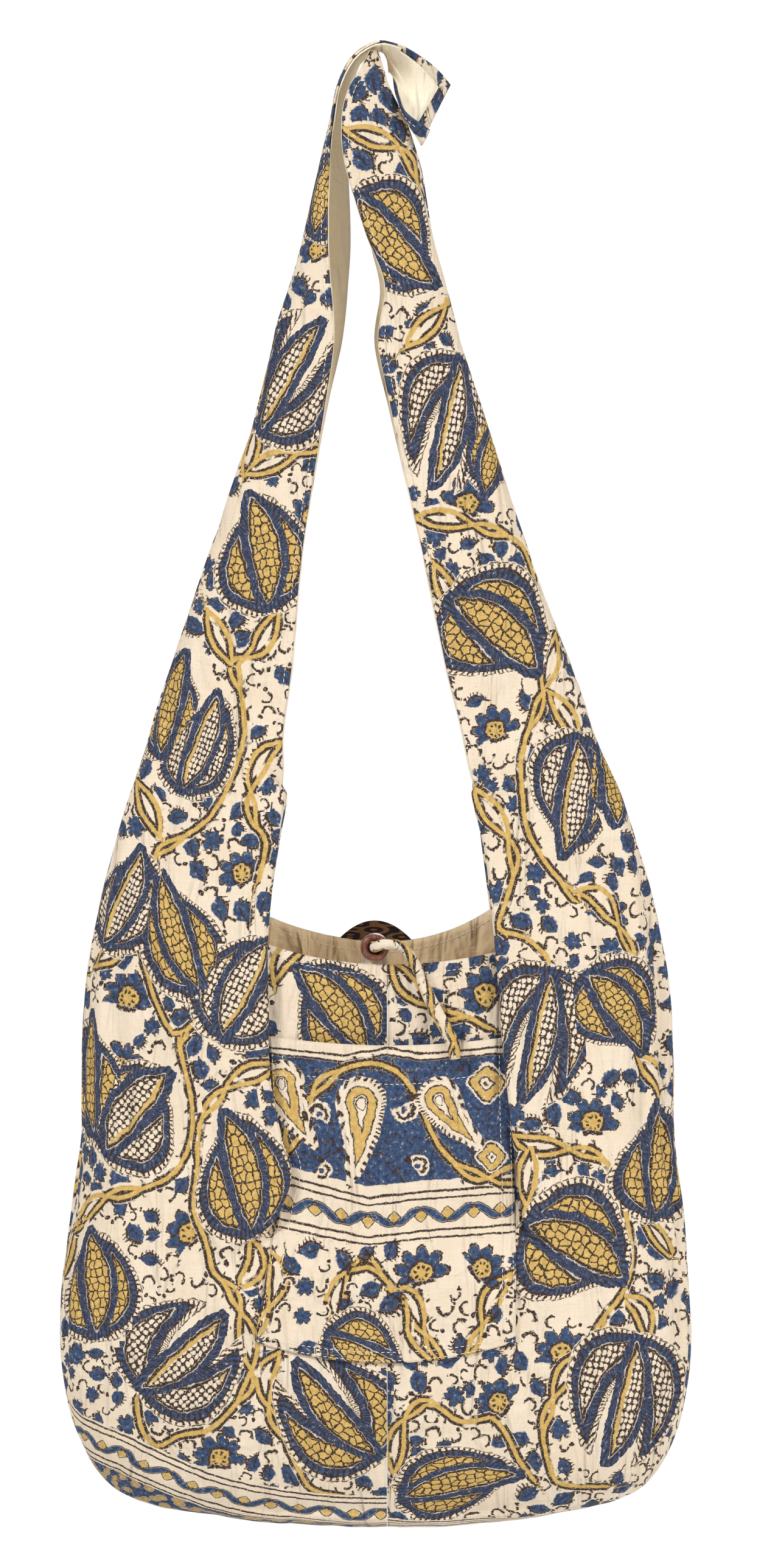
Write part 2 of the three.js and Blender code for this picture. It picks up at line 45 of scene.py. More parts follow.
UNDERLAP, FOLD_ROOM, POCKET_SLACK = 24.0, 3.6, 9.5
HALF_WIDTH, HALF_DEPTH = WIDTH / 2, DEPTH / 2
PLY = CLOTH + PLY_GAP + LINING
INNER_TURN, OUTER_TURN = FOLD_ROOM / 2, PLY + 0.9
FOLD_STEP = 2 * INNER_TURN + 2 * OUTER_TURN
BEAD_DIAMETER, BEAD_LENGTH, BEAD_BORE = 18.6, 13.0, 8.4
CORD_DIAMETER, TIE_DROP = 7.4, 71.0
TAB_WIDTH, TAB_HEIGHT = 50.0, 34.0


def table(columns, rows):
    return {name: np.array([row[i] for row in rows]) for i, name in enumerate(columns)}


SACK = table(
    ["down", "left", "right", "leftEdge", "rightEdge", "deep", "boxy", "fold"],
    [
        [0.20, 0.32, 0.27, 0.125, 0.02, 0.37, 2.3, 0],
        [0.26, 0.39, 0.36, 0.17, 0.065, 0.39, 2.3, 0],
        [0.343, 0.522, 0.485, 0.229, 0.151, 0.42, 2.3, 0],
        [0.42, 0.646, 0.622, 0.262, 0.225, 0.47, 2.4, 0],
        [0.468, 0.717, 0.698, 0.290, 0.280, 0.53, 2.5, 0],
        [0.505, 0.771, 0.775, 0.281, 0.306, 0.58, 2.5, 0.3],
        [0.535, 0.816, 0.824, 0.302, 0.338, 0.63, 2.6, 1],
        [0.585, 0.878, 0.888, 0.332, 0.366, 0.71, 2.6, 1],
        [0.64, 0.915, 0.932, 0.333, 0.388, 0.79, 2.6, 1],
        [0.69, 0.927, 0.944, 0.329, 0.410, 0.85, 2.6, 1],
        [0.735, 0.93, 0.945, 0.290, 0.432, 0.90, 2.6, 1],
        [0.76, 0.942, 0.958, 0.258, 0.448, 0.93, 2.6, 0.7],
        [0.785, 0.958, 0.974, 0.298, 0.466, 0.955, 2.6, 0.32],
        [0.81, 0.975, 0.984, 0.340, 0.480, 0.975, 2.6, 0.12],
        [0.84, 0.991, 0.992, 0.385, 0.490, 0.99, 2.6, 0],
        [0.865, 0.995, 1.0, 0.400, 0.500, 1.0, 2.6, 0],
    ],
)
STRAP_COLUMNS = ["nearX", "nearY", "nearDown", "spineX", "spineY", "spineDown", "farX", "farY", "farDown"]
STRAP = {
    "left": table(
        STRAP_COLUMNS,
        [
            [-0.229, -0.40, 0.343, -0.522, 0, 0.343, -0.226, 0.40, 0.343],
            [-0.168, -0.38, 0.260, -0.390, 0, 0.260, -0.161, 0.40, 0.260],
            [-0.132, -0.39, 0.202, -0.322, 0, 0.202, -0.103, 0.43, 0.202],
            [-0.144, -0.38, 0.157, -0.259, 0, 0.157, -0.088, 0.48, 0.157],
            [-0.151, -0.34, 0.128, -0.224, 0.03, 0.128, -0.083, 0.52, 0.128],
            [-0.146, -0.20, 0.083, -0.173, 0.10, 0.083, -0.093, 0.55, 0.083],
            [-0.137, -0.16, 0.054, -0.142, 0.14, 0.054, -0.098, 0.55, 0.054],
            [-0.118, -0.25, 0.029, -0.116, 0.10, 0.028, -0.083, 0.52, 0.029],
            [-0.070, -0.37, 0.0105, -0.071, 0.04, 0.008, -0.052, 0.47, 0.009],
            [0.0, -0.39, 0.001, 0, 0, 0, 0.022, 0.45, 0.0],
            [0.049, -0.34, 0.001, 0.042, 0.04, 0.0038, 0.054, 0.36, 0.008],
            [0.102, -0.18, 0.004, 0.068, 0.11, 0.015, 0.057, 0.13, 0.0220],
            [0.161, 0.07, 0.010, 0.096, 0.11, 0.031, 0.068, -0.16, 0.036],
            [0.205, 0.23, 0.018, 0.122, 0.02, 0.050, 0.096, -0.31, 0.048],
            [0.236, 0.30, 0.026, 0.150, -0.09, 0.0665, 0.172, -0.35, 0.060],
        ],
    ),
    "right": table(
        STRAP_COLUMNS,
        [
            [0.151, -0.40, 0.343, 0.485, 0, 0.343, 0.146, 0.40, 0.343],
            [0.063, -0.38, 0.260, 0.361, 0, 0.260, 0.054, 0.38, 0.260],
            [0.010, -0.37, 0.205, 0.275, 0, 0.205, -0.004, 0.36, 0.205],
            [0.034, -0.36, 0.164, 0.224, 0, 0.164, 0.020, 0.33, 0.164],
            [-0.028, -0.36, 0.128, 0.180, 0, 0.128, -0.016, 0.31, 0.128],
            [-0.091, -0.37, 0.083, 0.144, -0.03, 0.083, -0.036, 0.28, 0.083],
            [-0.102, -0.37, 0.054, 0.100, -0.05, 0.054, -0.040, 0.26, 0.054],
            [-0.083, -0.35, 0.033, 0.052, -0.07, 0.033, -0.042, 0.24, 0.033],
            [-0.040, -0.32, 0.018, 0.028, -0.06, 0.018, -0.030, 0.24, 0.018],
            [-0.012, -0.30, 0.0070, 0.008, -0.05, 0.0048, -0.006, 0.24, 0.0072],
        ],
    ),
}
MOUTH = {
    "left": {"frontMiddle": 0.6185, "frontFold": 0.594, "side": 0.586, "backFold": 0.574, "backMiddle": 0.6045},
    "right": {"frontMiddle": 0.6185, "frontFold": 0.603, "side": 0.586, "backFold": 0.562, "backMiddle": 0.6045},
}
BOTTOM = {
    "left": {"corner": 0.72, "cornerDown": 0.980, "middleDown": 0.998},
    "right": {"corner": 0.76, "cornerDown": 0.978, "middleDown": 0.998},
}
TURN_UNDER, SEAT_BACK, CREASE, CREASE_START = 0.865, 0.1, 0.085, 0.72
CORNER_POWER, BELLY_POWER = 2.5, 0.75
PANEL_END, HEM, TURN_START, WING = 0.15, 0.22, 0.26, 0.34
UPRIGHT, SPREAD, FOLD_TOP, FOLD_RUN = 0.3, 0.3, 0.5, 0.08
HEM_LEVEL, STRAP_START, STRAP_BLEND = 0.5, 0.343, 3
SIDE = {"left": -1.0, "right": 1.0}


def clamp(t):
    return np.clip(t, 0.0, 1.0)


def smooth(t):
    return t * t * (3 - 2 * t)


def mix(a, b, t):
    return a + (b - a) * t


def along(rows, key, at, by=None):
    """A smooth curve through one column of a table, by the row's own key or by its place in the table."""
    value = rows[key]
    last = len(value) - 1
    place = rows[by] if by else np.linspace(0, 1, last + 1)
    slope = np.array([
        (value[min(last, k + 1)] - value[max(0, k - 1)]) / (place[min(last, k + 1)] - place[max(0, k - 1)])
        for k in range(last + 1)
    ])
    at = np.asarray(at, float)
    i = np.clip(np.searchsorted(place, at, side="left") - 1, 0, last - 1)
    span = place[i + 1] - place[i]
    t = clamp((at - place[i]) / span)
    t2, t3 = t * t, t * t * t
    return (
        value[i] * (2 * t3 - 3 * t2 + 1)
        + value[i + 1] * (3 * t2 - 2 * t3)
        + span * (slope[i] * (t3 - 2 * t2 + t) + slope[i + 1] * (t3 - t2))
    )


def sack(key, down):
    return along(SACK, key, down, "down")


def z_of(down):
    return CROWN - down * HEIGHT


def outline(side, down, across, lift, back):
    """A place on the sack's outline, lifted off it by so much."""
    wide, deep, power = sack(side, down) * HALF_WIDTH, sack("deep", down) * HALF_DEPTH, sack("boxy", down)
    x = np.minimum(np.abs(across) / wide, 0.9999)
    y = (1 - x**power) ** (1 / power)
    nx, ny = x ** (power - 1) / wide, y ** (power - 1) / deep
    size = np.hypot(nx, ny)
    sign = SIDE[side] * np.where(across < 0, -1.0, 1.0)
    turned = np.where(back, 1.0, -1.0)
    return np.stack(
        [sign * (x * wide + nx / size * lift), turned * (y * deep + ny / size * lift), z_of(down) + 0 * x], -1
    )


def wing(side, down, start, share, back):
    """A place on the wing, which runs from the tuck round to the side."""
    wide, deep, power = sack(side, down) * HALF_WIDTH, sack("deep", down) * HALF_DEPTH, sack("boxy", down)
    x = start / wide
    first = np.arctan2(x, (1 - x**power) ** (1 / power))
    angle = mix(first, math.pi / 2, share)
    s, c = np.sin(angle), np.maximum(0, np.cos(angle))
    reach = (s**power + c**power) ** (-1 / power)
    turned = np.where(back, 1.0, -1.0)
    return np.stack([SIDE[side] * reach * s * wide, turned * reach * c * deep, z_of(down) + 0 * s], -1)


def fold_at(side, down):
    """The tuck at this height: its edge, how far the panel goes under, its step, its share and its spread."""
    closed = clamp(sack("fold", down))
    edge = sack(side + "Edge", down) * HALF_WIDTH
    behind = clamp((closed - UPRIGHT) / (1 - UPRIGHT))
    whole = smooth(clamp(closed / UPRIGHT))
    begun = smooth(clamp((down - FOLD_TOP) / FOLD_RUN))
    under = OUTER_TURN + UNDERLAP * np.minimum(behind, begun)
    spread = SPREAD * (sack(side, down) * HALF_WIDTH - edge)
    return edge, under, FOLD_STEP * whole, whole, spread


def cloth_point(side, down, v, above_mouth=False):
    """The printed face of one half: down is a share of HEIGHT, v its place across from front seam to back seam."""
    down, v = np.broadcast_arrays(np.asarray(down, float), np.asarray(v, float))
    back = v > 0.5
    w = np.where(back, 1 - v, v)
    edge, under, step, whole, spread = fold_at(side, down)
    start = edge + mix(spread, OUTER_TURN, whole)
    out_wing = wing(side, down, start, clamp((w - WING) / (0.5 - WING)), back)
    seam = SIDE[side] * SEAM_SHIFT
    out_panel = outline(side, down, mix(seam, edge + under * whole, clamp(w / PANEL_END)), -step, back)
    turn_in = np.pi * (clamp((w - PANEL_END) / (HEM - PANEL_END)) - 0.5)
    turn_out = np.pi * clamp((w - TURN_START) / (WING - TURN_START))
    hidden, flat_part = w <= HEM, w <= TURN_START
    tau = np.where(
        hidden,
        under + INNER_TURN * np.cos(turn_in),
        np.where(
            flat_part,
            mix(under, OUTER_TURN, clamp((w - HEM) / (TURN_START - HEM))),
            OUTER_TURN * (1 - np.sin(turn_out)),
        ),
    )
    lift = np.where(
        hidden,
        -FOLD_STEP + INNER_TURN * (1 + np.sin(turn_in)),
        np.where(flat_part, -2 * OUTER_TURN, -OUTER_TURN * (1 + np.cos(turn_out))),
    )
    first = HEM if above_mouth else PANEL_END
    flat = spread * (w - first) / (WING - first)
    out_fold = outline(side, down, edge + mix(flat, tau, whole), lift * whole, back)
    pick = w[..., None]
    return np.where(pick >= WING, out_wing, np.where(pick <= PANEL_END, out_panel, out_fold))


def mouth_down(side, v):
    """How far down the mouth's edge lies."""
    m = MOUTH[side]
    w = np.where(v > 0.5, 1 - v, v)
    middle = np.where(v > 0.5, m["backMiddle"], m["frontMiddle"])
    fold = np.where(v > 0.5, m["backFold"], m["frontFold"])
    near = mix(middle, fold, (w / PANEL_END) ** 2)
    return np.where(w <= PANEL_END, near, mix(fold, m["side"], clamp((w - PANEL_END) / (0.5 - PANEL_END))))


def bottom_point(side, v):
    """A place on the line where front and back meet under the sack."""
    b = BOTTOM[side]
    share = np.where(v > 0.5, 1 - v, v) / 0.5
    across = mix(SIDE[side] * SEAM_SHIFT, b["corner"] * HALF_WIDTH, share)
    z = z_of(mix(b["middleDown"], b["cornerDown"], share**CORNER_POWER))
    return np.stack([SIDE[side] * across, SEAT_BACK * HALF_DEPTH + 0 * share, z], -1)


def under_point(side, v, turn):
    """A place on the belly below the last flat row: turn runs from it to the bottom's line."""
    turn, v = np.broadcast_arrays(np.asarray(turn, float), np.asarray(v, float))
    top, end = cloth_point(side, TURN_UNDER, v), bottom_point(side, v)
    s, c = np.sin(turn * np.pi / 2), np.maximum(0, np.cos(turn * np.pi / 2))
    wave = np.sin(2 * np.pi * clamp((turn - CREASE_START) / (1 - CREASE_START)))
    crease = np.where(v < 0.5, CREASE * HALF_DEPTH * wave * np.cos(np.pi * v), 0)
    x, y = mix(end[..., 0], top[..., 0], c), mix(end[..., 1], top[..., 1], c**BELLY_POWER) - crease
    return np.stack([x, y, mix(top[..., 2], end[..., 2], s)], -1)


def strap_point(side, share, v):
    """A place on one leg of the strap: share runs up it and v across it. It grows out of the sack's form."""
    rows = STRAP[side]
    share, v = np.broadcast_arrays(np.asarray(share, float), np.asarray(v, float))

    def corner(name):
        return np.stack([
            along(rows, name + "X", share) * HALF_WIDTH,
            along(rows, name + "Y", share) * HALF_DEPTH,
            z_of(along(rows, name + "Down", share)),
        ], -1)

    near, spine, far = corner("near"), corner("spine"), corner("far")
    pull = 2 * spine - 0.5 * (near + far)
    t = ((v - HEM) / (1 - 2 * HEM))[..., None]
    bowed = near * (1 - t) ** 2 + pull * 2 * t * (1 - t) + far * t**2
    down = along(rows, "spineDown", share)
    sack_form = cloth_point(side, np.maximum(down, SACK["down"][0]), v, True)
    sack_form[..., 2] = z_of(down)
    bow = smooth(clamp(share * (len(rows["nearX"]) - 1) / STRAP_BLEND))[..., None]
    return mix(sack_form, bowed, bow)


def spaced(*parts):
    """Places across the cloth from parts (from, to, steps), mirrored to the back."""
    half = [0.0]
    for start, stop, steps in parts:
        half += list(np.linspace(start, stop, steps + 1)[1:])
    half = np.array(half)
    return np.concatenate([half, 1 - half[-2::-1]])


UNDER_ROWS, LIP_START, PANEL_STEPS = 46, 0.635, 22
ACROSS = spaced((0, PANEL_END, PANEL_STEPS), (PANEL_END, HEM, 8), (HEM, WING, 16), (WING, 0.5, 38))
ACROSS_UP = ACROSS[(ACROSS > HEM - 1e-6) & (ACROSS < 1 - HEM + 1e-6)]


def even_rows(point, start, stop, pitch):
    """Places along a run of rows, spaced by their real distance at the middle of the cloth."""
    probe = np.linspace(start, stop, 400)
    gone = gone_along(0.5 * (point(probe, 0.36) + point(probe, 0.6)))
    return np.interp(np.linspace(0, gone[-1], int(gone[-1] / pitch) + 1), gone, probe)


def lower_cloth(side):
    """The half below the mouth, from the bottom's line up: points and how far down each row lies."""
    v = ACROSS[None, :]
    turns = np.linspace(1, 0, UNDER_ROWS)[:, None]
    under = under_point(side, v, turns)
    under[0] = bottom_point(side, ACROSS)
    downs = np.linspace(TURN_UNDER, LIP_START, 74)[1:, None]
    middle = cloth_point(side, downs, v)
    shares = np.linspace(0, 1, 10)[1:, None]
    top_downs = mix(LIP_START, mouth_down(side, v), shares)
    top = cloth_point(side, top_downs, v)
    rows_down = np.concatenate([
        np.full((len(turns), v.size), TURN_UNDER), np.broadcast_to(downs, middle.shape[:2]), top_downs,
    ])
    return np.concatenate([under, middle, top]), rows_down


def upper_cloth(side):
    """The half from the mouth's line up its leg and along the strap."""
    v = ACROSS_UP[None, :]
    shares = np.linspace(0, 1, 28)[:, None]
    low = cloth_point(side, mix(mouth_down(side, v), HEM_LEVEL, shares), v, True)
    downs = np.linspace(HEM_LEVEL, STRAP_START, 50)[1:-1, None]
    leg = cloth_point(side, downs, v, True)
    places = even_rows(lambda share, at: strap_point(side, share, at), 0, 1, 3.0)[:, None]
    return np.concatenate([low, leg, strap_point(side, places, v)])


def relief(x, z, seed):
    """A slight unevenness of soft cotton in millimetres, as a fixed sum of waves."""
    rng = np.random.default_rng(seed)
    height = 0 * x
    for _ in range(9):
        length, turn, phase = rng.uniform(38, 95), rng.uniform(0, 2 * np.pi), rng.uniform(0, 2 * np.pi)
        height += 0.16 * np.sin((x * np.cos(turn) + z * np.sin(turn)) * 2 * np.pi / length + phase)
    for _ in range(7):
        length, turn, phase = rng.uniform(12, 26), rng.normal(0, 0.45), rng.uniform(0, 2 * np.pi)
        height += 0.045 * np.sin((x * np.cos(turn) + z * np.sin(turn)) * 2 * np.pi / length + phase)
    return height


def hanging_folds(side, place, z):
    """Soft folds that run down the wings in millimetres: (place across, slant, top, foot, half width, depth)."""
    folds = {
        "left": [
            (0.375, 0.00006, -400, -600, 0.010, -3.6), (0.405, 0.00004, -400, -780, 0.010, -4.0),
            (0.430, 0.00008, -470, -760, 0.009, -3.6), (0.455, 0.0, -520, -880, 0.014, -3.4),
            (0.405, -0.0001, -640, -900, 0.013, 2.4), (0.48, 0.0, -480, -820, 0.014, -2.6),
            (1.395, 0.0001, -470, -860, 0.014, -3.8), (1.44, 0.0, -560, -900, 0.016, 2.6),
            (1.47, 0.0, -480, -820, 0.012, -2.8),
        ],
        "right": [
            (0.385, 0.0, -420, -600, 0.010, -3.6), (0.41, -0.00005, -440, -800, 0.010, -4.0),
            (0.435, -0.0001, -520, -880, 0.010, -3.4), (0.465, 0.0001, -500, -860, 0.014, -3.6),
            (0.375, 0.00008, -700, -900, 0.012, -2.6), (0.45, 0.0, -640, -900, 0.010, 2.2),
            (1.40, 0.0, -500, -880, 0.015, -3.6), (1.45, 0.0001, -600, -900, 0.016, 2.6),
            (1.475, 0.0, -480, -820, 0.012, -2.6),
        ],
    }[side]
    height = 0 * z
    for across, slant, top, foot, half, depth in folds:
        spread = half * (1 + 0.35 * np.sin(z / 47 + across * 90))
        off = (place - across - slant * (z - top) - 0.006 * np.sin(z / 61 + across * 40)) / spread
        fade = smooth(clamp((top - z) / 60)) * smooth(clamp((z - foot) / 70))
        height += depth * fade * np.exp(-off * off)
    # Over the tuck the cloth lies flat, because its own layers are close under it.
    tucked = smooth(clamp((-470 - z) / 30))
    return height * (1 - tucked * (1 - smooth(clamp((np.mod(place, 1) - 0.375) / 0.025))))


def sheet_normals(points, quads):
    a, b, c, d = (points[quads[:, k]] for k in range(4))
    face = np.cross(c - a, d - b)
    face /= np.maximum(np.linalg.norm(face, axis=1), 1e-9)[:, None]
    normal = np.zeros_like(points)
    for k in range(4):
        np.add.at(normal, quads[:, k], face)
    return normal / np.maximum(np.linalg.norm(normal, axis=1), 1e-9)[:, None]


def grid_quads(numbers):
    """Quads of a grid of vertex numbers, without those that close up to a line."""
    a, b = numbers[:-1, :-1].ravel(), numbers[:-1, 1:].ravel()
    c, d = numbers[1:, 1:].ravel(), numbers[1:, :-1].ravel()
    return np.stack([a, b, c, d], 1)


def shown(name, data):
    """A new object in the scene."""
    made = bpy.data.objects.new(name, data)
    bpy.context.scene.collection.objects.link(made)
    return made


def mesh_object(name, points, faces, uvs=None):
    """A mesh from points in millimetres and quads, with UV maps given for each corner."""
    mesh = bpy.data.meshes.new(name)
    mesh.vertices.add(len(points))
    mesh.vertices.foreach_set("co", (points * MM).astype(np.float32).ravel())
    flat = faces.ravel().astype(np.int32)
    mesh.loops.add(len(flat))
    mesh.loops.foreach_set("vertex_index", flat)
    mesh.polygons.add(len(faces))
    mesh.polygons.foreach_set("loop_start", np.arange(0, len(flat), faces.shape[1], dtype=np.int32))
    mesh.polygons.foreach_set("use_smooth", np.ones(len(faces), bool))
    for layer, values in (uvs or {}).items():
        mesh.uv_layers.new(name=layer)
        mesh.uv_layers[layer].data.foreach_set("uv", values.astype(np.float32).ravel())
    mesh.update(calc_edges=True)
    mesh.validate()
    return shown(name, mesh)


def wall(points, quads, near, far, settle=None):
    """Closes an open sheet into a wall from near to far under its face. Gives points, quads and the sheet's own
    quad that each one continues."""
    normal = sheet_normals(points, quads)
    if settle is not None:
        normal = settle(normal)
    outer, inner = points - normal * near, points - normal * far
    count = len(points)
    edges = np.concatenate([quads[:, [k, (k + 1) % 4]] for k in range(4)])
    owner = np.tile(np.arange(len(quads)), 4)
    real = edges[:, 0] != edges[:, 1]
    edges, owner = edges[real], owner[real]
    key = np.minimum(edges[:, 0], edges[:, 1]) * count + np.maximum(edges[:, 0], edges[:, 1])
    _, first, uses = np.unique(key, return_index=True, return_counts=True)
    rim = first[uses == 1]
    a, b = edges[rim, 0], edges[rim, 1]
    rim_quads = np.stack([b, a, a + count, b + count], 1)
    faces = np.concatenate([quads, quads[:, ::-1] + count, rim_quads])
    source = np.concatenate([np.arange(len(quads)), np.arange(len(quads)), owner[rim]])
    return np.concatenate([outer, inner]), faces, source


def maps_round(layers, source, count):
    """The sheet's UV maps, carried round onto its edges and its back."""
    carried = {}
    for key, value in layers.items():
        value = value[source].copy()
        value[count:2 * count] = value[count:2 * count, ::-1]
        value[2 * count:] = value[2 * count:].mean(1, keepdims=True)
        carried[key] = value
    return carried


def half_sheet(side):
    """One half as a single sheet: points, quads facing out, and what each vertex needs for its print."""
    low, down = lower_cloth(side)
    high = upper_cloth(side)
    rows, columns = low.shape[:2]
    numbers = np.arange(rows * columns).reshape(rows, columns)
    numbers[0, columns // 2 + 1:] = numbers[0, columns // 2 - 1::-1]
    first_up = int(np.searchsorted(ACROSS, HEM - 1e-6))
    high_numbers = rows * columns + np.arange(high.shape[0] * high.shape[1]).reshape(high.shape[:2])
    high_numbers[0] = numbers[-1, first_up:first_up + len(ACROSS_UP)]
    points = np.concatenate([low.reshape(-1, 3), high.reshape(-1, 3)])
    quads = np.concatenate([grid_quads(numbers), grid_quads(high_numbers)])
    if side == "left":
        quads = quads[:, ::-1]
    return low, high, down, numbers, high_numbers, points, quads


# The block print. Pods are (kind, base x, base z, tip x, tip z, width) where they show in the front view, with
# an even kind for a core of ochre scales, an odd one for seeds, and 2 or 3 for a pod with its leaves apart.
# Vines are lists of x, z points.
PODS = {
    ("left", "wing"): [
        (1, -175, -710, -132, -655, 70), (0, -78, -762, -96, -680, 60), (0, -178, -828, -182, -757, 56),
        (3, -152, -862, -95, -812, 66), (2, 3, -905, -52, -842, 62), (0, -68, -360, -80, -283, 62),
        (0, -140, -455, -122, -385, 48), (1, -125, -478, -100, -412, 46), (1, -178, -577, -150, -512, 56),
        (0, -112, -607, -140, -527, 50), (1, -100, -636, -66, -570, 60), (3, -76, -246, -34, -172, 58),
        (0, -184, -700, -187, -618, 60), (0, -40, -120, -20, -60, 50),
    ],
    ("left", "panel"): [(0, -2, -648, -50, -588, 62)],
    ("right", "wing"): [
        (0, 15, -930, 95, -914, 50), (3, 170, -826, 150, -910, 64), (0, 96, -752, 162, -790, 78),
        (0, 184, -752, 186, -676, 70), (3, 114, -590, 96, -676, 58), (0, 136, -592, 176, -645, 62),
        (1, 132, -440, 122, -520, 58), (0, 148, -445, 158, -500, 56), (0, 48, -350, 108, -400, 76),
        (0, -14, -92, 40, -152, 66), (3, 56, -196, 38, -282, 56), (0, 92, -232, 70, -286, 50),
    ],
    ("right", "panel"): [],
    "pocket": [(0, -32, -824, 26, -852, 50)],
}
VINES = {
    ("left", "wing"): [
        [-198, -760, -190, -748, -175, -738, -150, -732, -130, -722, -119, -703, -117, -680, -122, -655, -125, -640,
         -122, -632],
        [-205, -790, -200, -765, -190, -748],
        [-60, -652, -85, -660, -100, -672, -112, -690, -114, -720, -116, -745, -108, -765, -103, -785, -92, -795,
         -84, -815, -80, -835, -80, -855, -90, -870, -105, -885, -125, -890, -140, -897, -150, -885, -153, -865],
        [-78, -762, -76, -780, -85, -792],
        [-60, -835, -70, -850, -68, -870, -58, -890, -52, -905, -40, -925, -20, -930, 0, -935],
        [-62, -360, -75, -385, -90, -395, -86, -415, -84, -440, -90, -462, -98, -480, -108, -495, -125, -507,
         -140, -515, -148, -530],
        [-60, -445, -72, -455, -80, -475, -78, -495, -70, -510, -75, -535],
        [-108, -360, -100, -378, -92, -395],
        [-155, -470, -145, -490, -140, -505],
        [-185, -590, -165, -575, -155, -560, -148, -590, -142, -610, -128, -632, -112, -620, -110, -600],
        [-85, -275, -80, -255, -78, -235],
        [-85, -272, -60, -262, -38, -255],
    ],
    ("left", "panel"): [[-65, -600, -60, -585, -48, -575]],
    ("right", "wing"): [
        [88, -697, 100, -703, 125, -706, 145, -712, 157, -728, 163, -755, 165, -780, 158, -800, 148, -812, 140, -830,
         122, -850, 112, -872, 108, -890, 113, -912, 120, -922, 150, -925],
        [158, -800, 172, -810, 176, -830],
        [100, -703, 97, -730, 98, -760],
        [12, -915, 14, -890, 22, -875, 35, -868, 55, -880, 75, -878, 85, -890, 92, -905, 103, -920],
        [170, -645, 185, -665, 186, -690],
        [172, -750, 195, -775],
        [38, -330, 45, -345, 50, -352],
        [118, -375, 112, -400, 105, -425, 98, -440, 94, -460, 95, -480, 98, -500, 108, -520, 120, -535, 130, -545],
        [64, -475, 75, -490, 85, -505, 90, -525, 85, -545, 80, -565, 95, -570, 108, -580, 114, -592],
        [112, -412, 122, -425, 130, -440],
        [130, -540, 145, -545, 155, -560, 165, -575, 172, -590],
        [25, -300, 50, -302, 75, -308, 95, -318, 105, -340],
        [20, -190, 35, -175, 48, -160],
        [-20, -50, 0, -55, 20, -65, 32, -95],
    ],
    ("right", "panel"): [[10, -585, 20, -600, 32, -612, 45, -620, 60, -622, 75, -630]],
    "pocket": [
        [-25, -820, -25, -800, -18, -785, -5, -778, 8, -790, 20, -805, 22, -825, 35, -840],
        [10, -795, 22, -800, 30, -820, 42, -840],
        [88, -785, 75, -800, 68, -820, 58, -840],
        [-68, -770, -62, -785, -65, -800, -75, -822],
    ],
}
SUNFLOWERS = {
    ("left", "wing"): [(-100, -905), (-85, -530), (-160, -610), (-37, -128), (-165, -655), (-118, -760), (-40, -300)],
    ("left", "panel"): [],
    ("right", "wing"): [(120, -838), (78, -438), (80, -868), (150, -556), (60, -292), (140, -690)],
    ("right", "panel"): [(72, -608)],
    "pocket": [(30, -785), (68, -782)],
}
BACK_PODS = [
    (1, -48, -640, -70, -706, 66), (0, 22, -650, 52, -712, 64), (3, -8, -728, -42, -790, 64),
    (0, 52, -772, 18, -832, 62), (0, -62, -800, -44, -866, 58), (1, 26, -868, 78, -900, 60),
]
BACK_VINES = [
    [-48, -640, -30, -622, -5, -618, 12, -632, 22, -650],
    [-8, -728, 6, -716, 12, -700, 4, -680, -12, -668, -25, -655, -30, -640],
    [52, -772, 66, -760, 70, -742, 62, -728],
    [-62, -800, -78, -785, -82, -760, -72, -738],
    [26, -868, 8, -862, -6, -846, -4, -822, 6, -808, 20, -800, 40, -790, 52, -772],
]
BACK_SUNFLOWERS = [(0, -690), (-20, -820), (78, -830), (-4, -910)]
LEAVES = {
    ("left", "wing"): [
        (-30, -62, 1.2, 1.7), (-28, -84, 1.9, 1.6), (12, -16, 0.3, 1.5), (26, -22, 2.6, 1.5), (40, -30, 1.0, 1.4),
    ],
    ("right", "wing"): [
        (-12, -24, 1.3, 1.4), (-1, -18, 1.6, 1.5), (8, -30, 1.8, 1.4), (-10, -42, 1.1, 1.4), (2, -44, 1.5, 1.5),
        (14, -50, 1.9, 1.4), (20, -74, 0.6, 1.4), (-8, -70, 2.4, 1.4), (24, -96, 1.2, 1.4),
    ],
}
BORDER = {"left": [-205, -870, -190, -880, -160, -891, -140, -901, -100, -917, -60, -926, -20, -931, 6, -931],
          "right": [8, -946, 60, -947, 100, -948, 150, -946, 190, -930]}
BORDER_TIGHT = 1.2  # how much closer the border's lines lie at the foot than on the pocket
POD_LENGTH, POD_WIDTH = 72.0, 70.0
BUD_REACH = [5.6, 5.2, 4.0, 12.5, 10.5]
FAR = 900.0  # a place out of any motif's reach
KIND_STEP = 300.0  # each kind of motif has its own stretch of its UV map
PAISLEY_STEP = 600.0
POD_SHORTER, POD_SLIMMER = 1.16, 1.1  # by how much a pod is smaller than its numbers above
MOST_BUDS = 4000
VINE_PITCH, BORDER_PITCH = 4.0, 6.0  # the steps along a drawn line
PLACES_AT_ONCE = 4000
BACK_SHIFT = 48.0  # how far up the cloth the back repeats the front's print


def smooth_route(points, steps):
    """A smooth line through the points. steps gives the number of steps for a span's length."""
    ends = np.concatenate([[2 * points[0] - points[1]], points, [2 * points[-1] - points[-2]]])
    made = []
    for k in range(1, len(ends) - 2):
        a, b, c, d = ends[k - 1:k + 3]
        t = np.linspace(0, 1, steps(np.linalg.norm(c - b)) + 1)[:-1, None]
        bend, twist = 2 * a - 5 * b + 4 * c - d, 3 * b - a - 3 * c + d
        made.append(0.5 * (2 * b + (c - a) * t + bend * t**2 + twist * t**3))
    return np.concatenate([*made, points[-1:]])


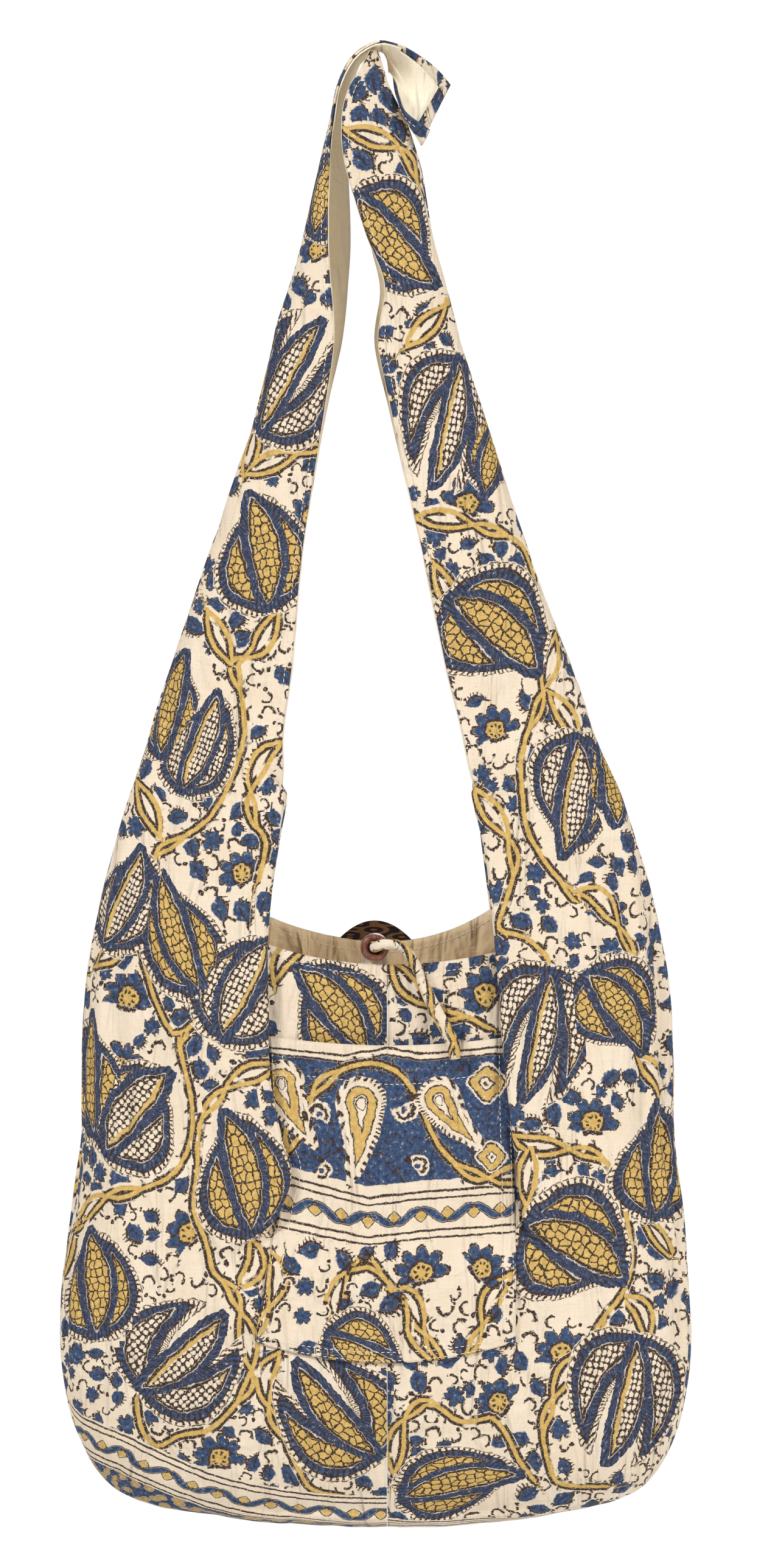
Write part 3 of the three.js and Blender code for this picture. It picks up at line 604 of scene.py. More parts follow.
def drawn_line(numbers, pitch):
    """A line of the print from its x, z numbers, in short steps."""
    points = np.array(numbers, float).reshape(-1, 2)
    if len(points) < 3:
        steps = max(2, int(np.linalg.norm(points[-1] - points[0]) / pitch))
        return points[0] + (points[-1] - points[0]) * np.linspace(0, 1, steps)[:, None]
    return smooth_route(points, lambda span: max(2, int(span / pitch)))


def gone_along(line):
    """How far each point of a line lies along it."""
    return np.concatenate([[0], np.cumsum(np.linalg.norm(np.diff(line, axis=0), axis=1))])


def nearest_leg(cx, cz, starts, run, size):
    """For each place, the leg of a line that passes nearest."""
    best = np.empty(len(cx), int)
    for first in range(0, len(cx), PLACES_AT_ONCE):
        part = slice(first, first + PLACES_AT_ONCE)
        dx, dz = cx[part, None] - starts[None, :, 0], cz[part, None] - starts[None, :, 1]
        t = clamp((dx * run[:, 0] + dz * run[:, 1]) / size**2)
        best[part] = np.hypot(dx - t * run[:, 0], dz - t * run[:, 1]).argmin(1)
    return best


class Print:
    """The motifs of one stretch of cloth, in that cloth's own coordinates."""

    # The small motifs fill what the pods and vines leave free, wherever they find room.
    def __init__(self, pods, vines, flowers, area, seed, leaves=(), room=0.98):
        self.pods = np.array(pods, float).reshape(-1, 6)
        legs = []
        for line in vines:
            at = drawn_line(line, VINE_PITCH)
            gone = gone_along(at)
            for k in range(len(at) - 1):
                legs.append([*at[k], *at[k + 1], gone[k], k == 0, k == len(at) - 2])
        self.legs = np.array(legs, float).reshape(-1, 7)
        rng = np.random.default_rng(seed)
        buds = [(x, z, rng.normal(0, 0.5), rng.uniform(1.15, 1.4), 3) for x, z in flowers]
        buds += [(x, z, turn, size, 0) for x, z, turn, size in leaves]
        taken = np.full((MOST_BUDS, 3), -1e5)
        for k, (x, z, _, size, kind) in enumerate(buds):
            taken[k] = x, z, BUD_REACH[int(kind)] * size
        (x0, x1), (z0, z1) = area
        spots = rng.uniform((x0, z0), (x1, z1), (int((x1 - x0) * (z1 - z0) / 9), 2))
        px, pz = spots[:, :1], spots[:, 1:]
        off_vines = np.abs(self.vine_place(px, pz)[0][..., 1].ravel())
        clear = (self.pod_reach(px, pz).min(0) > 0.96) & (off_vines > 6.6)
        for x, z in spots[clear]:
            kind, size = rng.choice([0, 0, 0, 1, 2, 2]), rng.uniform(0.8, 1.3)
            reach = BUD_REACH[kind] * size
            near = taken[:len(buds)]
            if (np.hypot(near[:, 0] - x, near[:, 1] - z) > (near[:, 2] + reach) * room).all():
                taken[len(buds)] = x, z, reach
                buds.append((x, z, rng.uniform(0, 6.28), size, kind))
        self.buds = np.array(buds, float).reshape(-1, 5)

    def pod_local(self, x, z, pod):
        """Places in a pod's own frame: along it from its base, and across it."""
        _, bx, bz, tx, tz, width = pod
        length = math.hypot(tx - bx, tz - bz)
        ex, ez = (tx - bx) / length, (tz - bz) / length
        along_it = ((x - bx) * ex + (z - bz) * ez) * POD_LENGTH / length
        along_it = POD_LENGTH / 2 + (along_it - POD_LENGTH / 2) * POD_SHORTER
        across_it = ((z - bz) * ex - (x - bx) * ez) * POD_WIDTH / width * POD_SLIMMER
        return along_it, across_it if int(abs(bx)) % 2 else -across_it

    def pod_reach(self, x, z):
        """How far each place lies from each pod, as a share of the pod's own reach."""
        reach = [np.full(x[:, 0].shape, 9.0)]
        for pod in self.pods:
            a, b = self.pod_local(x.mean(1), z.mean(1), pod)
            reach.append(np.hypot((a - 36) / 53, b / 46))
        return np.array(reach)

    def pod_place(self, x, z):
        """Places in the frame of the pod that each is nearest to."""
        reach = self.pod_reach(x, z)
        best = reach.argmin(0)
        place = np.full(x.shape + (2,), FAR)
        for k, pod in enumerate(self.pods):
            mine = (best == k + 1) & (reach[k + 1] < 1.25)
            a, b = self.pod_local(x[mine], z[mine], pod)
            place[mine] = np.stack([a + pod[0] * KIND_STEP, b], -1)
        return place

    def vine_place(self, x, z):
        """Distance along the nearest vine and off it, and the leg of that vine."""
        place = np.full(x.shape + (2,), FAR)
        if not len(self.legs):
            return place, place
        cx, cz = x.mean(1), z.mean(1)
        a, b = self.legs[:, 0:2], self.legs[:, 2:4]
        run = b - a
        size = np.linalg.norm(run, axis=1)
        best = nearest_leg(cx, cz, a, run, size)
        leg = self.legs[best]
        length = size[best][:, None]
        ex, ez = ((leg[:, 2] - leg[:, 0])[:, None] / length, (leg[:, 3] - leg[:, 1])[:, None] / length)
        dx, dz = x - leg[:, 0:1], z - leg[:, 1:2]
        gone, off = dx * ex + dz * ez, dz * ex - dx * ez
        past = np.maximum(0, np.where(leg[:, 5:6] > 0, -gone, 0))
        past = past + np.maximum(0, np.where(leg[:, 6:7] > 0, gone - length, 0))
        off = np.where(off < 0, -1, 1) * np.hypot(off, past * 1.6)
        return np.stack([leg[:, 4:5] + gone, off], -1), best

    def bud_place(self, x, z):
        """Places in the frame of the nearest small motif."""
        place = np.full(x.shape + (2,), FAR)
        if not len(self.buds):
            return place
        cx, cz = x.mean(1), z.mean(1)
        best = np.empty(len(cx), int)
        reach = np.array(BUD_REACH)[self.buds[:, 4].astype(int)] * self.buds[:, 3]
        for start in range(0, len(cx), PLACES_AT_ONCE):
            part = slice(start, start + PLACES_AT_ONCE)
            away = np.hypot(cx[part, None] - self.buds[:, 0], cz[part, None] - self.buds[:, 1])
            best[part] = (away - reach).argmin(1)
        bud = self.buds[best][:, None, :]
        dx, dz = (x - bud[..., 0]) / bud[..., 3], (z - bud[..., 1]) / bud[..., 3]
        c, s = np.cos(bud[..., 2]), np.sin(bud[..., 2])
        near = np.hypot(dx, dz).max(1) < 40
        place[near] = np.stack([dx * c + dz * s + bud[..., 4] * KIND_STEP, dz * c - dx * s], -1)[near]
        return place

    def maps(self, x, z):
        places = {"pods": self.pod_place(x, z), "vines": self.vine_place(x, z)[0], "buds": self.bud_place(x, z)}
        return {name: place / 100 for name, place in places.items()}


def line_place(x, z, line):
    """Distance along a line and below it, for the borders that follow the cloth's edge."""
    at = drawn_line(line, BORDER_PITCH)
    gone = gone_along(at)
    cx, cz = x.mean(1), z.mean(1)
    run = np.diff(at, axis=0)
    size = np.linalg.norm(run, axis=1)
    best = nearest_leg(cx, cz, at[:-1], run, size)
    ex, ez = (run[best, 0] / size[best])[:, None], (run[best, 1] / size[best])[:, None]
    dx, dz = x - at[best, 0:1], z - at[best, 1:2]
    return np.stack([gone[best][:, None] + dx * ex + dz * ez, dx * ez - dz * ex], -1) / 100


def charts(side, low, high):
    """Cloth coordinates of both grids: x from the front's view and from the back's, unrolled, and the run of z."""
    sign = SIDE[side]

    def across(grid, places):
        step = np.linalg.norm(np.diff(grid, axis=1), axis=2)
        gone = np.concatenate([np.zeros((len(grid), 1)), np.cumsum(step, axis=1)], axis=1)
        front, rear = int(np.abs(places - 0.30).argmin()), int(np.abs(places - 0.70).argmin())
        ahead = grid[:, front:front + 1, 0] + sign * (gone - gone[:, front:front + 1])
        behind = grid[:, rear:rear + 1, 0] + sign * (gone[:, rear:rear + 1] - gone)
        ahead = np.where(places < 0.2, grid[..., 0], ahead)
        behind = np.where(places > 0.8, grid[..., 0], behind)
        return ahead, behind, gone

    low_front, low_back, _ = across(low, ACROSS)
    run = np.linalg.norm(np.diff(low[:UNDER_ROWS], axis=0), axis=2)
    below = np.concatenate([np.cumsum(run[::-1], axis=0)[::-1], np.zeros((1, low.shape[1]))])
    low_z = low[..., 2].copy()
    low_z[:UNDER_ROWS] = low[UNDER_ROWS - 1, :, 2] - below
    high_front, high_back, gone = across(high, ACROSS_UP)
    high_z = high[..., 2].copy()
    middle = int(np.abs(ACROSS_UP - 0.36).argmin())
    turn = int(np.argmax(high[:, middle, 2] > -42)) or len(high) - 1
    steps = np.linalg.norm(np.diff(high[turn:, middle], axis=0), axis=1)
    high_z[turn:] = high[turn, middle, 2] + np.concatenate([[0], np.cumsum(steps)])[:, None]
    flat = sign * (gone - gone[:, middle:middle + 1])
    high_front[turn:] = high_front[turn, middle] + flat[turn:]
    flat = sign * (gone - gone[:, -1 - middle:len(ACROSS_UP) - middle])
    high_back[turn:] = high_back[turn, -1 - middle] - flat[turn:]
    return (low_front, low_back, low_z), (high_front, high_back, high_z)


def places_across(low, high):
    """Each point's place across its cloth."""
    return np.concatenate([
        np.broadcast_to(ACROSS, low.shape[:2]).ravel(), np.broadcast_to(ACROSS_UP, high.shape[:2]).ravel()
    ])


def half_print(side, low, high, down):
    """The UV maps of one half, for each corner of its sheet's quads."""
    (low_front, low_back, low_z), (high_front, high_back, high_z) = charts(side, low, high)
    plain_low = grid_quads(np.arange(low.shape[0] * low.shape[1]).reshape(low.shape[:2]))
    plain_high = grid_quads(np.arange(high.shape[0] * high.shape[1]).reshape(high.shape[:2])) + low_z.size
    corners = np.concatenate([plain_low, plain_high])
    if side == "left":
        corners = corners[:, ::-1]
    front = np.concatenate([low_front.ravel(), high_front.ravel()])
    rear = np.concatenate([low_back.ravel(), high_back.ravel()])
    run = np.concatenate([low_z.ravel(), high_z.ravel()])
    v = places_across(low, high)
    level = np.concatenate([down.ravel(), np.zeros(high_z.size)])
    real = np.concatenate([low.reshape(-1, 3), high.reshape(-1, 3)])

    def to_cloth(x, z, zone):
        if zone == "panel":
            fits = (v < 0.155) & (level < 0.83) & (level > 0)
        else:
            fits = (v < 0.5) & ((v > 0.27) | (level > 0.82))
        away = np.hypot(real[:, 0] - x, real[:, 2] - z) + np.where(fits, 0, 1e6)
        near = np.flatnonzero(away < away.min() + 3.5)
        best = near[(real[near, 1] + away[near] * 0.8).argmin()]
        return front[best] + x - real[best, 0], run[best] + z - real[best, 2]

    def line_on_cloth(line, zone):
        return [value for k in range(0, len(line), 2) for value in to_cloth(*line[k:k + 2], zone)]

    def on_cloth(zone):
        key = (side, zone)
        pods = []
        for kind, bx, bz, tx, tz, width in PODS[key]:
            pods.append((kind, *to_cloth(bx, bz, zone), *to_cloth(tx, tz, zone), width))
        vines = []
        for line in VINES[key]:
            vines.append(line_on_cloth(line, zone))
        leaves = [(*to_cloth(x, z, zone), turn, size) for x, z, turn, size in LEAVES.get(key, [])]
        return pods, vines, [to_cloth(x, z, zone) for x, z in SUNFLOWERS[key]], leaves

    pods, vines, flowers, leaves = on_cloth("wing")
    span = (front[v < 0.5].min() - 20, front[v < 0.5].max() + 20)
    whole = (span, (run.min(), run.max()))
    wing_print = Print(pods, vines, flowers, whole, 11 if side == "left" else 12, leaves)
    panel_print = Print(*on_cloth("panel")[:3], ((-110, 110), (-830, -560)), 13)
    # The back repeats the front's print, moved up the cloth so that nothing mirrors at the side.
    back_pods = [(k, a, b + BACK_SHIFT, c, d + BACK_SHIFT, w) for k, a, b, c, d, w in pods]
    back_vines = [[value + (BACK_SHIFT if i % 2 else 0) for i, value in enumerate(line)] for line in vines]
    back_flowers = [(x, z + BACK_SHIFT) for x, z in flowers] + BACK_SUNFLOWERS
    # The strap's turned end shows its back edge from the front, and that edge is thickly printed.
    end = high.shape[0] - 1
    edge_leaves = [
        (high_back[end - row, -1 - k], high_z[end - row, -1 - k], turn, 1.2)
        for row, k, turn in ((2, 4, 0.4), (6, 3, 2.0), (10, 4, 1.1), (14, 3, 2.6), (18, 4, 0.7))
    ] if side == "left" else []
    back_print = Print(back_pods + BACK_PODS, back_vines + BACK_VINES, back_flowers, whole, 14, edge_leaves)
    at_v, at_level = v[corners].mean(1), level[corners].mean(1)
    x_front, x_back, z = front[corners], rear[corners], run[corners]
    on_back = at_v > 0.5
    on_panel = (at_v < 0.2) & (at_level < 0.787) & (at_level > 0)
    maps = wing_print.maps(x_front, z)
    for chosen, motifs, x in ((on_panel, panel_print, x_front), (on_back, back_print, x_back)):
        for name, values in motifs.maps(x[chosen], z[chosen]).items():
            maps[name][chosen] = values
    x = np.where(on_back[:, None], x_back + 500, x_front)
    maps["cloth"] = np.stack([x, z], -1) / 100
    border_x = np.where(on_back[:, None], x_back, x_front)
    maps["border"] = line_place(border_x, z, line_on_cloth(BORDER[side], "wing")) * np.array([1.0, BORDER_TIGHT])
    maps["border"][on_panel] = FAR
    return maps


HEMMED_ROWS = 9  # the rows of the turned end of the strap that its lining leaves free


def build_half(side):
    """A printed cloth and its lining, with the points and numbers of the sheet that both follow."""
    low, high, down, numbers, high_numbers, points, quads = half_sheet(side)
    maps = half_print(side, low, high, down)
    normal = sheet_normals(points, quads)
    places = places_across(low, high)
    share = np.minimum(places, 1 - places)
    free = smooth(clamp(share / 0.03))
    lift = relief(points[:, 0] + 400 * (places > 0.5), points[:, 2], 5) * free
    folds = hanging_folds(side, share + (places > 0.5), points[:, 2])
    points = points + normal * (lift + folds)[:, None]
    on_seam = share < 1e-6

    def settle(n):
        n = n.copy()
        n[on_seam[:len(n)], 0] = 0
        return n / np.linalg.norm(n, axis=1)[:, None]

    def closed(name, sheet, sheet_quads, near, far, layers):
        shell, faces, source = wall(sheet, sheet_quads, near, far, settle)
        shell[np.tile(on_seam, 2), 0] = SEAM_SHIFT + SIDE[side] * SEAM_GAP / 2
        used, flat = np.unique(faces, return_inverse=True)
        carried = maps_round(layers, source, len(sheet_quads))
        return mesh_object(name, shell[used], flat.reshape(faces.shape), carried)

    # Under a fold the lining keeps away from the cloth's other layers.
    inner = points - normal * (0.9 * np.minimum(np.abs(folds), 3.0))[:, None]
    inner_quads = thin_grid(numbers, high_numbers, HEMMED_ROWS if side == "left" else 0)
    if side == "left":
        inner_quads = inner_quads[:, ::-1]
    printed = closed(side + "_print_cloth", points, quads, 0, CLOTH, maps)
    lining = closed(side + "_lining_cloth", inner, inner_quads, CLOTH + PLY_GAP, PLY, {})
    return (printed, lining), points, numbers, high_numbers


def thin_grid(numbers, high_numbers, hemmed):
    """The same cloth with every second row and column, for the lining. Over its last rows it stops short of
    the hem."""
    def every_second(n):
        return sorted(set(range(0, n, 2)) | {n - 1})

    columns = every_second(numbers.shape[1])
    first = int(np.searchsorted(ACROSS, HEM - 1e-6))
    ups = [c - first for c in columns if 0 <= c - first < high_numbers.shape[1]]
    lower = numbers[np.ix_(every_second(numbers.shape[0]), columns)]
    upper = high_numbers[np.ix_(every_second(high_numbers.shape[0]), ups)]
    if not hemmed:
        return np.concatenate([grid_quads(lower), grid_quads(upper)])
    body, flap = upper[:len(upper) - hemmed], upper[len(upper) - hemmed - 1:-2, 3:-3]
    return np.concatenate([grid_quads(lower), grid_quads(body), grid_quads(flap)])


# Node trees. A Term is a value in a tree, and its arithmetic adds Math nodes.
class Term:
    def __init__(self, tree, socket):
        self.tree, self.socket = tree, socket

    def math(self, operation, *others):
        node = self.tree.nodes.new("ShaderNodeMath")
        node.operation = operation
        for socket, value in zip(node.inputs, (self, *others)):
            feed(self.tree, socket, value)
        return Term(self.tree, node.outputs[0])

    def __add__(self, other):
        return self.math("ADD", other)

    def __sub__(self, other):
        return self.math("SUBTRACT", other)

    def __rsub__(self, other):
        return Term(self.tree, other).math("SUBTRACT", self)

    def __mul__(self, other):
        return self.math("MULTIPLY", other)

    def __truediv__(self, other):
        return self.math("DIVIDE", other)

    def __rtruediv__(self, other):
        return Term(self.tree, other).math("DIVIDE", self)

    __radd__, __rmul__ = __add__, __mul__

    def least(self, other):
        return self.math("MINIMUM", other)

    def most(self, other):
        return self.math("MAXIMUM", other)

    def size(self):
        return self.math("ABSOLUTE")

    def part(self):
        """What is left of it over a whole number."""
        return self.math("FRACT")

    def under(self, edge, soft=0.28):
        """1 where it is below the edge and 0 above it, with a short ramp between."""
        node = self.tree.nodes.new("ShaderNodeMapRange")
        feed(self.tree, node.inputs["Value"], self)
        for name, value in (("From Min", edge - soft), ("From Max", edge + soft), ("To Min", 1.0), ("To Max", 0.0)):
            feed(self.tree, node.inputs[name], value)
        return Term(self.tree, node.outputs["Result"])

    def near(self, middle, half, soft=0.28):
        """1 within half of the middle."""
        return (self - middle).size().under(half, soft)

    def but(self, other):
        """It, except where the other is."""
        return self * (1.0 - other)


def feed(tree, socket, value):
    if isinstance(value, Term):
        value = value.socket
    if isinstance(value, bpy.types.NodeSocket):
        tree.links.new(value, socket)
    else:
        socket.default_value = value


def node(tree, kind, inputs=None, output=0, **settings):
    """Adds a node, sets it and feeds it, and gives one of its outputs."""
    made = tree.nodes.new(kind)
    for name, value in settings.items():
        setattr(made, name, value)
    for name, value in (inputs or {}).items():
        feed(tree, made.inputs[name], value)
    return Term(tree, made.outputs[output])


def group(name, inputs, outputs):
    """A shader node group with named sockets. Gives its tree and its inputs as Terms."""
    tree = bpy.data.node_groups.new(name, "ShaderNodeTree")
    for label, kind, default in inputs:
        socket = tree.interface.new_socket(label, in_out="INPUT", socket_type="NodeSocket" + kind)
        if default is not None:
            socket.default_value = default
    for label, kind in outputs:
        tree.interface.new_socket(label, in_out="OUTPUT", socket_type="NodeSocket" + kind)
    start, end = tree.nodes.new("NodeGroupInput"), tree.nodes.new("NodeGroupOutput")
    return tree, {label: Term(tree, start.outputs[label]) for label, _, _ in inputs}, end


def use(tree, source, inputs):
    """Places a node group and gives its outputs by name."""
    made = tree.nodes.new("ShaderNodeGroup")
    made.node_tree = source
    for label, value in inputs.items():
        feed(tree, made.inputs[label], value)
    return {socket.name: Term(tree, socket) for socket in made.outputs}


def split(tree, vector):
    made = tree.nodes.new("ShaderNodeSeparateXYZ")
    feed(tree, made.inputs[0], vector)
    return Term(tree, made.outputs[0]), Term(tree, made.outputs[1])


def joined(tree, x, y):
    return node(tree, "ShaderNodeCombineXYZ", {"X": x, "Y": y})


def scaled(tree, vector, amount):
    return node(tree, "ShaderNodeVectorMath", {0: vector, "Scale": amount}, operation="SCALE")


def tone(red, green, blue):
    """A colour read from a photograph, 0 to 255, as the linear colour of a shader."""
    linear = (c / 255 / 12.92 if c <= 10 else ((c / 255 + 0.055) / 1.055) ** 2.4 for c in (red, green, blue))
    return (*linear, 1.0)


def blend(tree, factor, first, second, way="MIX"):
    """The second colour over the first, by a share."""
    made = tree.nodes.new("ShaderNodeMix")
    made.data_type, made.blend_type = "RGBA", way
    for name, value in (("Factor", factor), ("A", first), ("B", second)):
        feed(tree, made.inputs[name], value)
    return Term(tree, made.outputs["Result"])


def noise(tree, vector, scale, detail, output=0, **inputs):
    """Flat noise, the same all along the third axis."""
    inputs = {"Vector": vector, "Scale": scale, "Detail": detail, **inputs}
    return node(tree, "ShaderNodeTexNoise", inputs, output, noise_dimensions="2D")


def cells(tree, vector, scale, randomness, feature="F1"):
    """The distance from the middles of flat cells, or from their edges."""
    inputs = {"Vector": vector, "Scale": scale, "Randomness": randomness}
    return node(tree, "ShaderNodeTexVoronoi", inputs, "Distance", feature=feature, voronoi_dimensions="2D")


def bumped(tree, shader, height, distance):
    bump = tree.nodes.new("ShaderNodeBump")
    bump.inputs["Distance"].default_value = distance
    feed(tree, bump.inputs["Height"], height)
    feed(tree, shader.inputs["Normal"], Term(tree, bump.outputs["Normal"]))


def on_piece(tree):
    """The piece's own coordinates in millimetres."""
    return scaled(tree, node(tree, "ShaderNodeTexCoord", output="Object"), 1000.0)


def by_kind(tree, place):
    """The kind of motif that a place belongs to, and its x and y in that motif."""
    x, y = split(tree, place)
    kind = (x / KIND_STEP + 0.5).math("FLOOR")
    return kind, x - kind * KIND_STEP, y


WHOLE_TURN = 6.2832


def lobe_group():
    """A pointed leaf with a bent spine: how far outside it a place is, and on which side of its spine."""
    tree, given, end = group(
        "Leaf outline",
        [("Place", "Vector", None), ("Turn", "Float", 0.0), ("Length", "Float", 70.0), ("Half width", "Float", 11.0),
         ("Bend", "Float", 0.0)],
        [("Outside", "Float"), ("Side", "Float")],
    )
    spin = {"Vector": given["Place"], "Angle": given["Turn"]}
    turned = node(tree, "ShaderNodeVectorRotate", spin, rotation_type="Z_AXIS")
    x, y = split(tree, turned)
    u = x / given["Length"] * 2.0 - 1.0
    side = y - given["Bend"] * (1.0 - u * u)
    ratio = side.size() / given["Half width"] + u.size().math("POWER", 2.5)
    steep = (u * 5.0 / given["Length"]).math("POWER", 2.0) + (1.0 / given["Half width"]) * (1.0 / given["Half width"])
    past_tip = (u.size() - 1.0) * given["Length"] * 0.5
    feed(tree, end.inputs["Outside"], ((ratio - 1.0) / steep.math("SQRT")).most(past_tip))
    feed(tree, end.inputs["Side"], side)
    return tree


def pod_group(lobe):
    """A pomegranate pod of three leaves: masks for each ink and for the ground that it keeps clear."""
    tree, given, end = group(
        "Pod", [("Place", "Vector", None), ("Worn", "Float", 0.0)],
        [("Ochre", "Float"), ("Navy", "Float"), ("Dark", "Float"), ("Clear", "Float")],
    )
    kind, x, y = by_kind(tree, given["Place"])
    seeds = kind.near(1.0, 0.5, 0.1) + kind.near(3.0, 0.5, 0.1)
    open_form = kind.near(2.5, 1.0, 0.1)
    place = joined(tree, x, y)
    middle = use(tree, lobe, {"Place": place, "Turn": 0.0, "Length": 72.0,
                               "Half width": 10.8 - open_form * 2.2, "Bend": 5.0})
    upper = use(tree, lobe, {
        "Place": place, "Turn": open_form * -0.16 - 0.36, "Length": open_form * 4.0 + 60.0, "Half width": 8.6,
        "Bend": open_form * 2.5 + 13.5})
    lower = use(tree, lobe, {
        "Place": place, "Turn": open_form * 0.18 + 0.34, "Length": open_form * 9.0 + 50.0, "Half width": 8.4,
        "Bend": open_form * -3.0 - 13.0})
    centre = middle["Outside"]
    sides = upper["Outside"].least(lower["Outside"])
    on_centre = centre.under(7.0, 0.05)
    edge = centre * on_centre + sides * (1.0 - on_centre)
    spine = middle["Side"] * on_centre + (upper["Side"].size() - 1.0) * (1.0 - on_centre)
    angle = y.math("ARCTAN2", x - 34.0)
    ticks = (angle * 10.2).part().near(0.5, 0.2, 0.06)
    core = edge.under(-0.9)
    net = cells(tree, place, 0.165, 0.62, "DISTANCE_TO_EDGE").under(0.09, 0.03)
    seed = cells(tree, place, 0.235, 0.22).under(0.40, 0.05)
    stripe = edge.near(-2.6, 1.4) * spine.under(0.0)
    ring = edge.near(-0.2, 1.1)
    navy = edge.near(4.5, 3.0)
    comb = ticks * edge.near(5.4, 3.2)
    rim = edge.near(7.9, 0.85).most(edge.near(1.5, 0.5) * given["Worn"].under(0.52, 0.04))
    fringe = ticks * edge.near(9.9, 1.8)
    thread = edge.near(12.4, 0.5) * (angle * 5.1 + given["Worn"] * 2.0).part().near(0.5, 0.38, 0.05)
    feed(tree, end.inputs["Ochre"], core * (seeds * stripe + (1.0 - seeds)))
    feed(tree, end.inputs["Navy"], navy)
    dark_core = core * (seeds * ((1.0 - seed).but(stripe)) + (1.0 - seeds) * net)
    feed(tree, end.inputs["Dark"], dark_core.most(ring).most(comb).most(rim).most(fringe).most(thread).least(1.0))
    feed(tree, end.inputs["Clear"], edge.under(13.6))
    return tree


def vine_group():
    """Ochre stems with dark outlines, single in some stretches and twisted round each other in others."""
    tree, given, end = group(
        "Vine", [("Place", "Vector", None), ("Worn", "Float", 0.0)],
        [("Ochre", "Float"), ("Dark", "Float"), ("Clear", "Float")],
    )
    run, off = split(tree, given["Place"])
    gate = ((run / 31.0 + 0.9).math("SINE") * 1.5 - 0.25).most(0.0).least(1.0)
    swing = (run / 12.5).math("SINE") * gate * 5.6
    apart = (off.size() - swing.size()).size()
    feed(tree, end.inputs["Ochre"], apart.under(1.8))
    dashes = (given["Worn"] + off * 0.02).under(0.62, 0.04)
    outer = off.size() - swing.size()
    barb = (run / 10.7 + off * 0.045 + off.math("SIGN") * 0.23).part().near(0.5, 0.075, 0.03) * outer.near(4.3, 1.7)
    feed(tree, end.inputs["Dark"], (apart.near(2.45, 1.05) * dashes).most(barb * given["Worn"].under(0.53, 0.03)))
    feed(tree, end.inputs["Clear"], outer.under(4.0))
    return tree


def bud_group():
    """Small motifs between the vines: leaves, thistles, hooks with dots, fan flowers and diamonds."""
    tree, given, end = group(
        "Bud", [("Place", "Vector", None)],
        [("Ochre", "Float"), ("Navy", "Float"), ("Dark", "Float"), ("Clear", "Float")],
    )
    kind, x, y = by_kind(tree, given["Place"])
    leaf, thistle, hook, flower, diamond = (kind.near(float(k), 0.5, 0.1) for k in range(5))
    far = (x * x + y * y).math("SQRT")
    angle = y.math("ARCTAN2", x)
    blade = (y.size() / 4.2 + x * x / 46.0 - 1.0) * 3.0
    stem = (y - x * x * 0.03 + 1.0).size().under(0.7) * (x + 9.8).size().under(3.8)
    barbs = (x * 0.42).part().near(0.5, 0.2, 0.06) * blade.near(1.5, 1.1)
    leaf_dark = (blade.near(0.5, 0.7) * y.under(0.4)).most(stem).most(barbs * y.under(0.0)).most(
        (y - 0.3).size().under(0.45) * (x + 1.0).size().under(4.4))
    points = (angle * 2.5).math("COSINE").size()
    star = far - points * 3.4
    spikes = star.near(3.3, 0.85) * points.under(0.9, 0.1)
    curl = (far - 3.6).size().under(0.85) * y.under(1.0)
    dot = ((x - 4.6).math("POWER", 2.0) + (y - 3.4) * (y - 3.4)).under(2.8, 0.6)
    ray = 1.0 - ((angle * 1.4324).part() - 0.5).size() * 2.0
    petals = far - (1.0 - ray * ray) * 4.6
    fan = 1.0 - y.under(-3.4)
    cup = ((x * x + (y - 0.5) * (y - 0.5)).math("SQRT"))
    petal_lines = ray.under(1.05, 0.1) * (1.0 - ray.under(0.86, 0.06)) * far.near(8.0, 2.2)
    calyx = (y + 4.6).size().under(1.1) * x.size().under(5.5)
    square = x.size() + y.size() - (x.size() * y.size()).math("SQRT") * 0.35
    feed(tree, end.inputs["Navy"], (leaf * blade.under(0.0)).most(thistle * star.under(2.7)).most(
        flower * fan * petals.under(8.2) * (1.0 - cup.under(5.6))))
    feed(tree, end.inputs["Ochre"], (flower * fan * cup.under(5.2)).most(diamond * square.near(6.0, 2.0)))
    feed(tree, end.inputs["Dark"], (leaf * leaf_dark).most(thistle * spikes).most(hook * curl.most(dot)).most(
        flower * (fan * petals.near(8.9, 0.75).most(cup.near(5.7, 0.7)).most(petal_lines).most(
            cup.near(3.1, 0.8) * (angle * 1.2732).part().near(0.5, 0.26, 0.06))).most(calyx)
    ).most(diamond * square.near(3.4, 0.5).most(square.near(8.6, 0.6)).most(far.under(1.2))))
    around_curl = (far - 3.6).size().under(2.1) * y.under(2.0)
    feed(tree, end.inputs["Clear"], (diamond * square.under(10.5)).most(hook * around_curl))
    return tree


